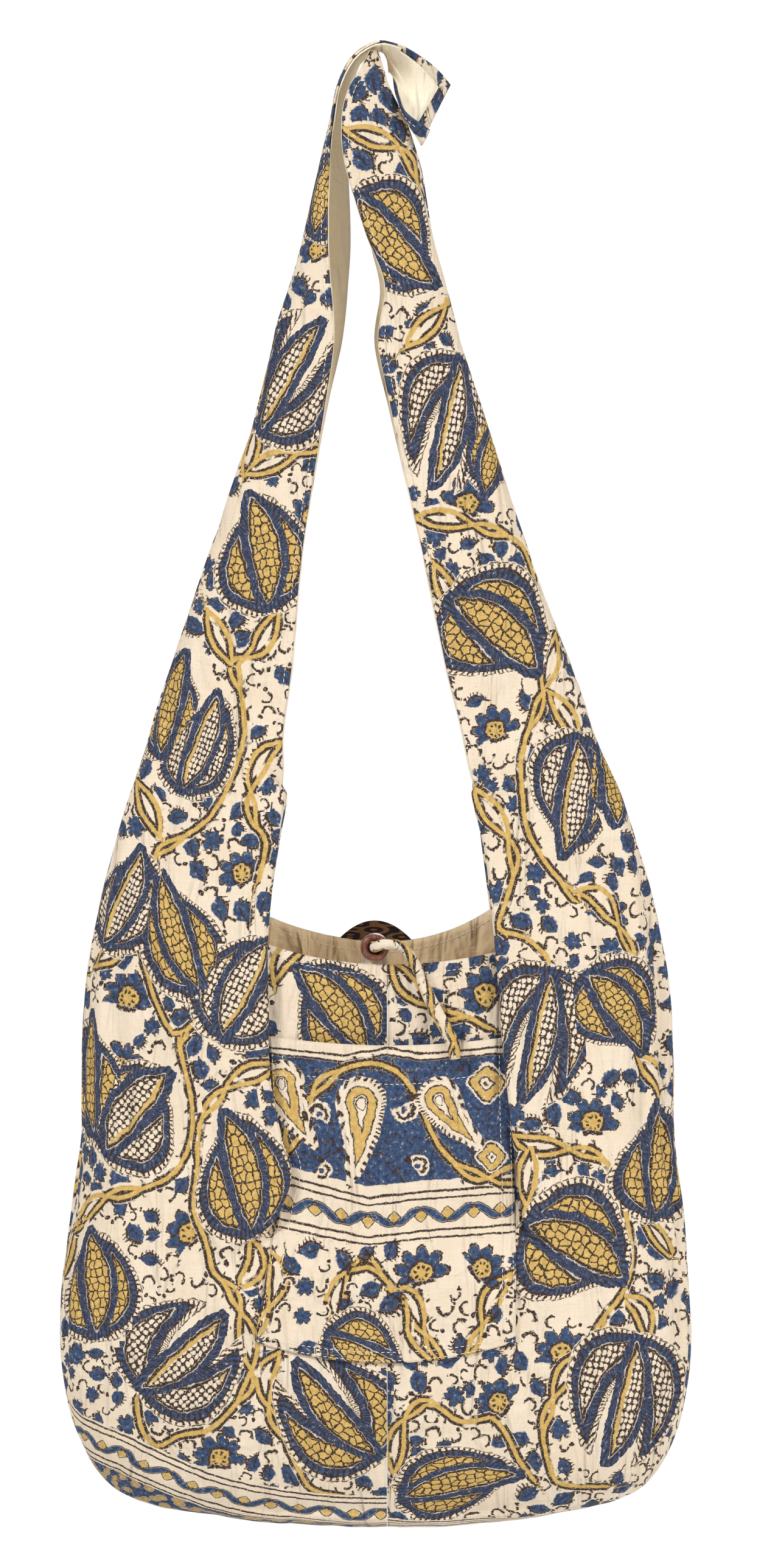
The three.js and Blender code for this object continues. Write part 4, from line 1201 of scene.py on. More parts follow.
def paisley_group():
    """A drop with a curled tip: a cream rim with a dotted edge, an ochre ring and a small flower in its heart."""
    tree, given, end = group(
        "Paisley", [("Place", "Vector", None)], [("Ochre", "Float"), ("Dark", "Float"), ("Clear", "Float")],
    )
    x, y = split(tree, given["Place"])
    share = (x / 54.0).most(0.0).least(1.0)
    bent = y - share * share * 13.0
    radius = (1.0 - share).math("POWER", 0.75) * 16.0
    behind = x.least(0.0)
    past = (x - 54.0).most(0.0)
    outside = (bent * bent + behind * behind + past * past).math("SQRT") - radius
    angle = bent.math("ARCTAN2", x - 6.0)
    teeth = (angle * 4.2 + x * 0.16).part().near(0.5, 0.24, 0.06) * outside.near(-0.7, 1.5)
    heart = ((x - 1.0) * (x - 1.0) + bent * bent).math("SQRT") - (angle * 2.0).math("COSINE").size() * 1.6
    feed(tree, end.inputs["Ochre"], outside.near(-8.6, 2.6))
    lines = teeth.most(outside.near(-5.7, 0.5)).most(outside.near(-11.6, 0.5)).most(heart.near(2.2, 0.5))
    feed(tree, end.inputs["Dark"], lines)
    feed(tree, end.inputs["Clear"], outside.under(0.8))
    return tree


def border_group():
    """Ruled lines, a wavy ribbon with tulips between them, then an inked band."""
    tree, given, end = group(
        "Border", [("Place", "Vector", None), ("Worn", "Float", 0.0)],
        [("Ochre", "Float"), ("Navy", "Float"), ("Dark", "Float"), ("Clear", "Float")],
    )
    run, off = split(tree, given["Place"])
    rules = off.near(0.0, 0.8).most(off.near(5.0, 0.75)).most(off.near(27.0, 0.8)).most(off.near(32.0, 0.75))
    phase = run / 34.0
    wave = off - 16.0 - (phase * WHOLE_TURN).math("SINE") * 4.2
    thick = (phase * WHOLE_TURN).math("COSINE").size() * 2.3 + 0.5
    ribbon = (wave.size() - thick).under(0.0)
    hop = (phase * 2.0).part() - 0.5
    side = ((phase * WHOLE_TURN + WHOLE_TURN / 4).math("COSINE")).math("SIGN")
    rise = (off - 16.0) * side * -1.0 + 5.5
    tulip = (hop * 17.0).size() + (rise - 5.0).size() * 0.8 - (rise - 2.0).least(0.0) * 0.6
    band = off.near(47.0, 13.0)
    blotch = cells(tree, given["Place"], 0.11, 0.9)
    feed(tree, end.inputs["Ochre"], tulip.under(3.4).most(band * blotch.under(0.30, 0.03)))
    feed(tree, end.inputs["Navy"], ribbon.most(band.but(blotch.under(0.42, 0.02))))
    veins = (wave.size() - thick).near(0.6, 0.45) * off.near(16.0, 9.5)
    lines = rules.most(veins).most(tulip.near(4.2, 0.55))
    feed(tree, end.inputs["Dark"], lines.most(band * blotch.near(0.36, 0.035)))
    feed(tree, end.inputs["Clear"], off.near(31.0, 33.5))
    return tree


def ink_group():
    """Lays the three inks over the ground, with the uneven cover of a hand block."""
    tree, given, end = group(
        "Block inks",
        [("Cloth", "Vector", None), ("Ground", "Color", tone(239, 222, 199)), ("Ochre", "Float", 0.0),
         ("Navy", "Float", 0.0), ("Dark", "Float", 0.0)],
        [("Color", "Color"), ("Ink", "Float")],
    )
    cloth = given["Cloth"]
    patch = noise(tree, cloth, 0.32, 4.0, Roughness=0.72)
    broad, fleck = noise(tree, cloth, 0.03, 3.0), noise(tree, cloth, 0.9, 2.0)

    def ramp(value, low, high, colours):
        return blend(tree, 1.0 - value.under((low + high) / 2, (high - low) / 2), *colours)

    colour = blend(tree, broad.under(0.5, 0.25) * 0.3, given["Ground"], tone(224, 198, 160))
    colour = blend(tree, fleck.under(0.27, 0.03) * 0.35, colour, tone(120, 92, 62))
    ochre = ramp(patch, 0.35, 0.7, (tone(222, 186, 112), tone(196, 158, 84)))
    navy = ramp(patch, 0.36, 0.66, (tone(74, 94, 126), tone(39, 56, 90)))
    dark = ramp(patch, 0.4, 0.7, (tone(72, 55, 47), tone(47, 37, 35)))
    colour = blend(tree, given["Ochre"] * (1.0 - patch.under(0.32, 0.02) * 0.5), colour, ochre)
    colour = blend(tree, given["Navy"] * (1.0 - patch.under(0.33, 0.02) * 0.5), colour, navy)
    colour = blend(tree, given["Dark"] * (1.0 - fleck.under(0.33, 0.03) * 0.75), colour, dark)
    feed(tree, end.inputs["Color"], colour)
    feed(tree, end.inputs["Ink"], given["Ochre"].most(given["Navy"]).most(given["Dark"]))
    return tree


def weave_group():
    """Plain weave as a height: threads both ways, each a little thick or thin."""
    tree, given, end = group(
        "Plain weave", [("Cloth", "Vector", None), ("Pitch", "Float", 0.62)],
        [("Height", "Float"), ("Shade", "Float")],
    )
    x, y = split(tree, given["Cloth"])
    warp = (x / given["Pitch"] * WHOLE_TURN).math("SINE")
    weft = (y / given["Pitch"] * WHOLE_TURN).math("SINE")
    slub = noise(tree, joined(tree, x * 0.05, y * 1.3), 1.0, 2.0)
    thick = slub + noise(tree, joined(tree, x * 1.3, y * 0.05), 1.0, 2.0)
    feed(tree, end.inputs["Height"], warp * weft * 0.25 + thick * 0.5)
    feed(tree, end.inputs["Shade"], thick * 0.5)
    return tree


def handmade_group():
    """The wobble of a hand-carved block, as a shift in millimetres, and a slow change of pressure."""
    tree, given, end = group("Hand block", [("Cloth", "Vector", None)], [("Shift", "Vector"), ("Worn", "Float")])
    slow = noise(tree, given["Cloth"], 0.12, 2.0, "Color")
    quick = noise(tree, given["Cloth"], 0.55, 1.0, "Color")

    def centred(colour, amount):
        less = node(tree, "ShaderNodeVectorMath", {0: colour, 1: (0.5, 0.5, 0.5)}, operation="SUBTRACT")
        return scaled(tree, less, amount)

    shift = node(tree, "ShaderNodeVectorMath", {0: centred(slow, 3.4), 1: centred(quick, 1.5)}, operation="ADD")
    feed(tree, end.inputs["Shift"], shift)
    feed(tree, end.inputs["Worn"], noise(tree, given["Cloth"], 0.09, 3.0))
    return tree


def crease_group():
    """The slight creases of worn cotton as a height: long down the cloth and short across it. It also gives a mask
    along the crease lines for painted shade.
    """
    tree, given, end = group("Soft creases", [("Cloth", "Vector", None)], [("Height", "Float"), ("Painted crease shade", "Float")])
    lean = {"Vector": given["Cloth"], "Rotation": (0, 0, 0.12), "Scale": (0.055, 0.014, 1)}
    hanging = node(tree, "ShaderNodeMapping", lean)
    folds = noise(tree, hanging, 1.0, 2.0, Distortion=0.7)
    small = noise(tree, given["Cloth"], 0.06, 3.0, Distortion=0.4)
    sharp = ((folds - 0.5).size() * 7.0).least(1.0)
    feed(tree, end.inputs["Height"], folds * 1.7 + sharp * 0.07 + small * 0.5)
    feed(tree, end.inputs["Painted crease shade"], 1.0 - sharp)
    return tree


LOBE = lobe_group()
POD, VINE, BUD, EDGING, PAISLEY = pod_group(LOBE), vine_group(), bud_group(), border_group(), paisley_group()
INKS, WEAVE, HANDMADE, CREASES = ink_group(), weave_group(), handmade_group(), crease_group()


def new_material(name):
    made = bpy.data.materials.new(name)
    made.use_nodes = True
    return made, made.node_tree, made.node_tree.nodes["Principled BSDF"]


def uv(tree, layer):
    """A piece's own UV map, back in millimetres."""
    return scaled(tree, node(tree, "ShaderNodeUVMap", uv_map=layer), 100.0)


def moved(tree, place, shift):
    return node(tree, "ShaderNodeVectorMath", {0: place, 1: shift}, operation="ADD")


def cloth_finish(tree, shader, cloth, colour, pitch=0.62):
    """Weave, softness, creases, painted shade along the crease lines and the sheen of washed cotton."""
    weave = use(tree, WEAVE, {"Cloth": cloth, "Pitch": pitch})
    creases = use(tree, CREASES, {"Cloth": cloth})
    # Painted shade: the colour darkens a little along the crease lines, on top of the weave's own tone.
    weave_tone_and_painted_crease_shade = weave["Shade"] + 0.5 - creases["Painted crease shade"] * 0.06
    grey = node(tree, "ShaderNodeCombineXYZ", {"X": weave_tone_and_painted_crease_shade, "Y": weave_tone_and_painted_crease_shade, "Z": weave_tone_and_painted_crease_shade})
    feed(tree, shader.inputs["Base Color"], blend(tree, 0.22, colour, grey, "MULTIPLY"))
    feed(tree, shader.inputs["Roughness"], weave["Shade"] * 0.1 + 0.84)
    bumped(tree, shader, weave["Height"] * 0.04 + creases["Height"], 0.0045)
    shader.inputs["Sheen Weight"].default_value = 0.02
    shader.inputs["Sheen Roughness"].default_value = 0.6
    shader.inputs["Specular IOR Level"].default_value = 0.25


def over_layers(ink, *layers):
    """Lays motifs over what is there, each on the ground that it keeps clear."""
    for layer in layers:
        for name in ink:
            kept = ink[name].but(layer["Clear"])
            ink[name] = kept + layer[name] if name in layer else kept
    return ink


def printed_cotton(name, on_pocket):
    """The block print. On the pocket a blue field with paisleys lies between its ruled lines."""
    made, tree, shader = new_material(name)
    cloth = uv(tree, "cloth")
    hand = use(tree, HANDMADE, {"Cloth": cloth})
    shift, worn = hand["Shift"], hand["Worn"]
    buds = use(tree, BUD, {"Place": moved(tree, uv(tree, "buds"), shift)})
    vines = use(tree, VINE, {"Place": moved(tree, uv(tree, "vines"), scaled(tree, shift, 0.45)), "Worn": worn})
    pod_place = moved(tree, uv(tree, "pods"), shift)
    pods = use(tree, POD, {"Place": pod_place, "Worn": worn})
    border_place = moved(tree, uv(tree, "border"), scaled(tree, shift, 0.5))
    border = use(tree, EDGING, {"Place": border_place, "Worn": worn})
    bare = Term(tree, 0.0)
    if on_pocket:
        _, off = split(tree, border_place)
        blue = off.near(-42.0, 35.5)
        ferns = noise(tree, cloth, 0.1, 1.5, Distortion=1.9).near(0.5, 0.03, 0.01) * (1.0 - worn.under(0.46, 0.04))
        rules = off.near(-82.0, 0.75).most(off.near(-78.2, 0.7))
        vines["Clear"] = vines["Ochre"].most(vines["Dark"]).most(vines["Clear"].but(blue))
        drops = use(tree, PAISLEY, {"Place": moved(tree, pod_place, (0.0, -PAISLEY_STEP, 0.0))})
        field = {"Ochre": bare, "Navy": blue, "Dark": rules.most(blue * ferns)}
        ink = over_layers(field, border, vines, drops, buds, pods)
    else:
        ink = over_layers({"Ochre": bare, "Navy": bare, "Dark": bare}, buds, vines, pods, border)
    laid = use(tree, INKS, {"Cloth": cloth, **ink})
    cloth_finish(tree, shader, cloth, laid["Color"])
    return made


def lining_cotton():
    """Plain cotton with painted shade: light along the strap and painted darker down in the sack, where shade falls.
    """
    made, tree, shader = new_material("lining cotton")
    place = on_piece(tree)
    x = node(tree, "ShaderNodeSeparateXYZ", {0: place})
    z = Term(tree, x.socket.node.outputs[2])
    cloth = joined(tree, x, z)
    broad = node(tree, "ShaderNodeTexNoise", {"Vector": place, "Scale": 0.02, "Detail": 4.0})
    # Painted shade: below the mouth the lining's colour darkens into the sack.
    inside = (z + broad * 60.0).under(-500.0, 45.0)
    cloth_finish(tree, shader, cloth, blend(tree, inside, tone(253, 240, 214), tone(230, 202, 160)), 0.7)
    return made


def print_in_painted_shade():
    """The tab's cotton, coloured as the print in painted deep shade: near black with brown figures."""
    made, tree, shader = new_material("print in painted shade")
    cloth = uv(tree, "cloth")
    leaning = node(tree, "ShaderNodeMapping", {"Vector": cloth, "Rotation": (0, 0, 0.6), "Scale": (0.5, 1.7, 1.0)})
    shape = cells(tree, leaning, 0.12, 0.9, "SMOOTH_F1")
    shape.socket.node.inputs["Smoothness"].default_value = 0.25
    figures = shape.near(0.5, 0.11, 0.03).most(shape.under(0.14, 0.03))
    # Painted shade: near black and brown stand for the print's colours in deep shadow.
    cloth_finish(tree, shader, cloth, blend(tree, figures, tone(34, 28, 29), tone(122, 84, 56)))
    return made


def bead_wood():
    """Dark red-brown turned wood under a thin polish."""
    made, tree, shader = new_material("turned wood")
    place = on_piece(tree)
    stretched = node(tree, "ShaderNodeMapping", {"Vector": place, "Scale": (0.9, 0.9, 0.16)})
    grain = node(tree, "ShaderNodeTexNoise", {"Vector": stretched, "Scale": 0.9, "Detail": 5.0, "Distortion": 0.6})
    pores = node(tree, "ShaderNodeTexNoise", {"Vector": stretched, "Scale": 5.0, "Detail": 2.0})
    wood = blend(tree, grain.under(0.5, 0.16), tone(142, 84, 62), tone(84, 44, 34))
    feed(tree, shader.inputs["Base Color"], wood)
    feed(tree, shader.inputs["Roughness"], pores * 0.25 + 0.18)
    bumped(tree, shader, pores, 0.0001)
    shader.inputs["Coat Weight"].default_value = 0.35
    shader.inputs["Coat Roughness"].default_value = 0.15
    return made


def thread():
    made, tree, shader = new_material("sewing thread")
    place = on_piece(tree)
    fuzz = node(tree, "ShaderNodeTexNoise", {"Vector": place, "Scale": 1.6, "Detail": 2.0})
    feed(tree, shader.inputs["Base Color"], blend(tree, fuzz, tone(226, 212, 190), tone(252, 244, 230)))
    feed(tree, shader.inputs["Roughness"], fuzz * 0.2 + 0.6)
    return made


PRINT, POCKET_PRINT = printed_cotton("printed cotton", False), printed_cotton("pocket cotton", True)
LINING_COTTON, PRINT_IN_PAINTED_SHADE, BEAD_WOOD, THREAD = lining_cotton(), print_in_painted_shade(), bead_wood(), thread()

halves = {side: build_half(side) for side in ("left", "right")}

for side in ("left", "right"):
    printed, lining = halves[side][0]
    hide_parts(side + "_half")
    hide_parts(side + "_lining")
    for piece in (printed, lining):
        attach(piece, "root")
    printed.data.materials.append(PRINT)
    lining.data.materials.append(LINING_COTTON)

# The patch pocket
POCKET = table(
    ["down", "left", "right"],
    [
        [0.665, -0.336, 0.434],
        [0.728, -0.316, 0.438],
        [0.753, -0.272, 0.440],
        [0.778, -0.298, 0.442],
        [0.808, -0.325, 0.442],
        [0.866, -0.373, 0.439],
    ],
)
POCKET_ROWS = table(
    ["down", "sag"],
    [
        [0.666, 0.006], [0.70, 0.004], [0.735, 0], [0.76, 0], [0.785, 0], [0.81, 0], [0.84, 0], [0.856, 0.006],
        [0.868, 0.0148],
    ],
)
POCKET_COLUMNS, POCKET_LINES = 76, 92
POCKET_FLAT = (158.0, 200.0)
# Lines across the pocket where its bands begin: x, z
BAND_TOP = [-72, -641, -20, -646, 8, -641, 30, -645, 92, -640]
BAND_FOOT = [-72, -720, -55, -724, -5, -737, 30, -733, 92, -729]
BORDER_FOOT = [-72, -749, -65, -751, -5, -763, 30, -759, 92, -755]
PAISLEYS = [(-9, -676, -4, -726, 1.0, -1), (41, -674, 58, -704, 0.86, 1), (-60, -664, -50, -700, 0.9, 1)]
SCROLL = [
    -56, -708, -50, -690, -35, -665, -15, -653, 5, -652, 20, -662, 30, -680, 42, -705, 58, -720, 75, -725, 92, -722,
]


def panel_point(x, down, lift):
    """A place on the front panels, lifted off them by so much."""
    left = x < SEAM_SHIFT
    spots = []
    for side in ("left", "right"):
        step = fold_at(side, down)[2]
        spots.append(outline(side, down, SIDE[side] * x, lift - step, False))
    return np.where(left[..., None], spots[0], spots[1])


def pocket_point(across, up):
    """The pocket's cloth: it hangs a little slack and its top sags."""
    place = 1 - up
    row, sag = along(POCKET_ROWS, "down", place), along(POCKET_ROWS, "sag", place)
    sag = sag * np.sin(np.pi * clamp(across)) ** 0.8
    left, right = (along(POCKET, key, row, "down") * HALF_WIDTH for key in ("left", "right"))
    slack = POCKET_SLACK * np.sin(np.pi * clamp(across)) ** 2 * smooth(clamp((0.862 - row) / 0.1))
    return panel_point(mix(left, right, across), row + sag, STITCH_GAP + CLOTH + slack)


def between(x, line):
    return np.interp(x, line[0::2], line[1::2])


def open_sheet(point, across, up):
    """A rectangle of cloth as points and quads."""
    u, w = np.meshgrid(np.linspace(0, 1, across + 1), np.linspace(0, 1, up + 1))
    return point(u, w).reshape(-1, 3), grid_quads(np.arange(u.size).reshape(u.shape)), u.ravel(), w.ravel()


def walled(name, points, quads, layers, far=CLOTH):
    """A cloth piece with its thickness and its print."""
    shell, faces, source = wall(points, quads, 0, far)
    return mesh_object(name, shell, faces, maps_round(layers, source, len(quads)))


def build_pocket():
    """The patch pocket, stitched flat round its edge, with its own places for bands, paisleys and pods."""
    points, quads, across, up = open_sheet(pocket_point, POCKET_COLUMNS, POCKET_LINES)
    x, z = points[:, 0], points[:, 2]
    inside = np.minimum(np.minimum(across, 1 - across) * POCKET_FLAT[0], up * POCKET_FLAT[1])
    crease = np.exp(-((x + 5 - (z + 700) * 0.05) / 4.5) ** 2) * smooth(clamp((z + 775) / 30))
    hem = smooth(clamp((z - between(x, BAND_TOP) + 19.5) / 1.2)) * 0.35
    lift = relief(x, z, 8) * smooth(clamp(inside / 12)) * 1.3 - 1.1 * crease * smooth(clamp(inside / 20)) + hem
    lift += 0.25 * np.sin(across * POCKET_FLAT[0] / 5.5) * np.exp(-((up * POCKET_FLAT[1] - 6) / 6) ** 2)
    points = points + sheet_normals(points, quads) * lift[:, None]
    cx, cz = x[quads], z[quads]
    vines, foot_area = VINES["pocket"] + [SCROLL], ((-78, 92), (-845, -768))
    motifs = Print(PODS["pocket"], vines, SUNFLOWERS["pocket"], foot_area, 21, room=1.15)
    motifs.buds = np.concatenate([motifs.buds, [
        (72, -664, 0, 1.25, 4), (75, -711, 0, 1.0, 4), (-36, -684, 2.6, 1.5, 2), (19, -680, 0.4, 1.6, 2),
        (-34, -720, 1.0, 1.2, 2), (28, -716, 2.0, 1.2, 2),
    ]])
    layers = motifs.maps(cx, cz)
    pods = layers["pods"] * 100
    for hx, hz, tx, tz, size, way in PAISLEYS:
        length = math.hypot(tx - hx, tz - hz)
        ex, ez = (tx - hx) / length, (tz - hz) / length
        a, b = ((cx - hx) * ex + (cz - hz) * ez) / size, ((cz - hz) * ex - (cx - hx) * ez) / size * way
        mine = (np.hypot((a.mean(1) - 18) / 42, b.mean(1) / 24) < 1) & (cz.mean(1) > -735)
        pods[mine] = np.stack([a, b + PAISLEY_STEP], -1)[mine]
    layers["pods"] = pods / 100
    top, foot, last = (between(cx, line) for line in (BAND_TOP, BAND_FOOT, BORDER_FOOT))
    off = np.where(cz > foot, (foot - cz) / (top - foot) * 82, (foot - cz) / (foot - last) * 28)
    off[off.mean(1) > 33.4] = FAR
    layers["border"] = np.stack([cx + 200, off], -1) / 100
    layers["cloth"] = np.stack([cx, cz], -1) / 100
    return walled("patch_pocket", points, quads, layers), points, quads


pocket, pocket_points, pocket_quads = build_pocket()
pocket.data.materials.append(POCKET_PRINT)
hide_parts("pocket")

# The bead, the tie through it, the loop that holds it and the tab behind
LIP_RISE = 1.4
lip = panel_point(np.array([0.0]), np.array([MOUTH["left"]["frontMiddle"]]), 0.0)[0]
BEAD_AT = np.array([0.0, lip[1] + PLY / 2, lip[2] + LIP_RISE + STITCH_GAP + BEAD_DIAMETER / 2])


def build_bead():
    """A turned ring of wood with two fine grooves."""
    around, spin = 28, 72
    wall_half, middle = (BEAD_DIAMETER - BEAD_BORE) / 4, (BEAD_DIAMETER + BEAD_BORE) / 4
    a, t = np.meshgrid(*(np.linspace(0, 2 * np.pi, steps, endpoint=False) for steps in (around, spin)))
    c, s = np.cos(a), np.sin(a)
    radius = middle + wall_half * np.sign(c) * np.abs(c) ** 0.85
    y = BEAD_LENGTH / 2 * np.sign(s) * np.abs(s) ** 0.8
    ring = y / (BEAD_LENGTH / 2)
    radius = radius - 0.16 * np.exp(-((np.abs(ring) - 0.42) / 0.07) ** 2) * (c > 0)
    points = np.stack([radius * np.sin(t), y, radius * np.cos(t)], -1).reshape(-1, 3) + BEAD_AT
    numbers = np.arange(a.size).reshape(a.shape)
    numbers = np.concatenate([numbers, numbers[:1]])
    numbers = np.concatenate([numbers, numbers[:, :1]], axis=1)
    quads = grid_quads(numbers)
    centre = points[quads].mean(1)
    face = np.cross(points[quads[:, 2]] - points[quads[:, 0]], points[quads[:, 3]] - points[quads[:, 1]])
    away = centre - BEAD_AT
    hub = away.copy()
    hub[:, 1] = 0
    hub *= (middle / np.linalg.norm(hub, axis=1))[:, None]
    if ((away - hub) * face).sum(1).mean() < 0:
        quads = quads[:, ::-1]
    return mesh_object("toggle_bead_turned", points, quads)


TIE_STEPS = 8
TIE_ROUTE = [
    (0, 0.09, 0), (0, 0.028, 0), (0, -0.056, 0), (0.014, -0.128, 0.008), (0.092, -0.166, 0.031),
    (0.197, -0.159, 0.023), (0.289, -0.122, -0.034), (0.359, -0.099, -0.141), (0.423, -0.101, -0.282),
    (0.507, -0.117, -0.479), (0.613, -0.163, -0.676), (0.704, -0.232, -0.859), (0.725, -0.258, -1),
]


def build_tie():
    """A strip of the print rolled into a soft cord: its folded edge winds round it once, and its end is bare."""
    route = smooth_route(np.array(TIE_ROUTE) * TIE_DROP + BEAD_AT, lambda span: TIE_STEPS)
    gone = gone_along(route)
    ahead = np.gradient(route, axis=0)
    ahead /= np.linalg.norm(ahead, axis=1)[:, None]
    side = np.cross(ahead, [0, 1, 0.15])
    side /= np.linalg.norm(side, axis=1)[:, None]
    up = np.cross(side, ahead)
    sides = 32
    angle = np.linspace(0, 2 * np.pi, sides, endpoint=False)[None, :]
    run = gone[:, None]
    free = smooth(clamp((run - 16) / 14))
    turn = angle + run * 0.035
    groove = np.exp(-((np.mod(turn, 2 * np.pi) - np.pi) / 0.22) ** 2)
    radius = CORD_DIAMETER / 2 * (
        1 + 0.16 * free * np.cos(2 * turn) - 0.16 * groove + 0.03 * np.sin(5 * turn + run * 0.5)
    )
    radius = radius * (1 - 0.10 * (1 - free))
    round_it = np.cos(angle)[..., None] * side[:, None] + np.sin(angle)[..., None] * up[:, None]
    points = route[:, None] + radius[..., None] * round_it
    rows = len(route)
    numbers = np.arange(rows * sides).reshape(rows, sides)
    numbers = np.concatenate([numbers, numbers[:, :1]], axis=1)
    quads = grid_quads(numbers)
    flat_run = np.broadcast_to(run, (rows, sides + 1)).ravel()
    unrolled = np.linspace(0, 2 * np.pi, sides + 1)[None, :] * CORD_DIAMETER / 2
    flat_turn = np.broadcast_to(unrolled, (rows, sides + 1)).ravel()
    corners = grid_quads(np.arange(rows * (sides + 1)).reshape(rows, sides + 1))
    shell = points.reshape(-1, 3)
    caps = []
    for row, way in ((0, -1), (rows - 1, 1)):
        centre = len(shell)
        shell = np.concatenate([shell, [route[row] + way * ahead[row] * 0.5]])
        ring = numbers[row, :-1]
        for k in range(sides):
            pair = [ring[k], ring[(k + 1) % sides]]
            caps.append([*(pair if way > 0 else pair[::-1]), centre])
    face = np.cross(shell[quads[:, 2]] - shell[quads[:, 0]], shell[quads[:, 3]] - shell[quads[:, 1]])
    middle = route[(quads[:, 0] // sides)]
    if (face * (shell[quads].mean(1) - middle)).sum() < 0:
        quads, corners = quads[:, ::-1], corners[:, ::-1]
        caps = [[b, a, c] for a, b, c in caps]
    vine_off = np.mod(flat_turn[corners] + flat_run[corners] * 0.42, 14.0)
    least, most = vine_off.min(1, keepdims=True), vine_off.max(1, keepdims=True)
    vine_off = np.where(most - least > 7, least, vine_off) - 7
    place = np.stack([flat_run[corners], flat_turn[corners]], -1)
    layers = {
        "cloth": place / 100 + 3,
        "vines": np.stack([flat_run[corners] * 1.3 + 60, vine_off], -1) / 100,
        "pods": np.full(place.shape, FAR / 100),
        "buds": np.full(place.shape, FAR / 100),
        "border": np.full(place.shape, FAR / 100),
    }
    mesh = bpy.data.meshes.new("tie_cloth")
    tris = [tuple(int(i) for i in cap) for cap in caps]
    mesh.from_pydata([tuple(p) for p in shell * MM], [], [tuple(int(i) for i in q) for q in quads] + tris)
    for name, values in layers.items():
        flat = np.concatenate([values.reshape(-1, 2), np.full((3 * len(tris), 2), FAR / 100)])
        mesh.uv_layers.new(name=name)
        mesh.uv_layers[name].data.foreach_set("uv", flat.astype(np.float32).ravel())
    mesh.polygons.foreach_set("use_smooth", np.ones(len(mesh.polygons), bool))
    mesh.update()
    return shown("tie_cloth", mesh), route * MM, gone[-1] * MM


def plain_layers(x, z):
    """UV maps for cloth that shows no motif."""
    place = np.stack([x, z], -1)
    away = np.full(place.shape, FAR / 100)
    return {"cloth": place / 100, **{name: away.copy() for name in ("pods", "vines", "buds", "border")}}


def build_anchor():
    """The strip that holds the bead, from the back of the bead down inside the front hem."""
    width, height = 17.0, 30.0
    rear = BEAD_AT[1] + BEAD_LENGTH / 2 + STITCH_GAP + CLOTH
    sewn = lip[1] + PLY + STITCH_GAP + CLOTH
    foot = BEAD_AT[2] + BEAD_DIAMETER / 2 * 0.3 - height

    def point(across, up):
        lean = smooth(clamp((up - 0.34) / 0.22))
        return np.stack([BEAD_AT[0] + (across - 0.5) * width, mix(sewn, rear, lean), foot + up * height], -1)

    points, quads, _, _ = open_sheet(point, 24, 40)
    layers = plain_layers(points[quads][..., 0] + 900, points[quads][..., 2])
    return walled("bead_loop_cloth", points, quads[:, ::-1], {k: v[:, ::-1] for k, v in layers.items()})


def build_tab():
    """The strip of print in painted shade behind the back hem, bowed along its top."""
    top = z_of(MOUTH["left"]["backMiddle"]) + 0.4 * TAB_HEIGHT

    def point(across, up):
        x = (across - 0.5) * TAB_WIDTH
        bow = 1 - (2 * across - 1) ** 2
        z = top - TAB_HEIGHT + up * TAB_HEIGHT * (0.6 + 0.4 * bow)
        at = panel_point(x, (CROWN - z) / HEIGHT, STITCH_GAP + CLOTH)
        return np.stack([x, -at[..., 1], z], -1)

    points, quads, _, _ = open_sheet(point, 60, 36)
    layers = {"cloth": np.stack([points[quads][..., 0], points[quads][..., 2]], -1) / 100}
    return walled("loop_tab_cloth", points, quads[:, ::-1], {k: v[:, ::-1] for k, v in layers.items()})


bead = build_bead()
bead.data.materials.append(BEAD_WOOD)
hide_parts("toggle_bead")
tie, tie_line, tie_length = build_tie()
tie.data.materials.append(PRINT)
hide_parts("tie_cord")
anchor = build_anchor()
anchor.data.materials.append(PRINT)
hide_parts("tie_anchor")
# The tab is given the print in painted deep shade.
tab = build_tab()
tab.data.materials.append(PRINT_IN_PAINTED_SHADE)
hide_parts("loop_tab")


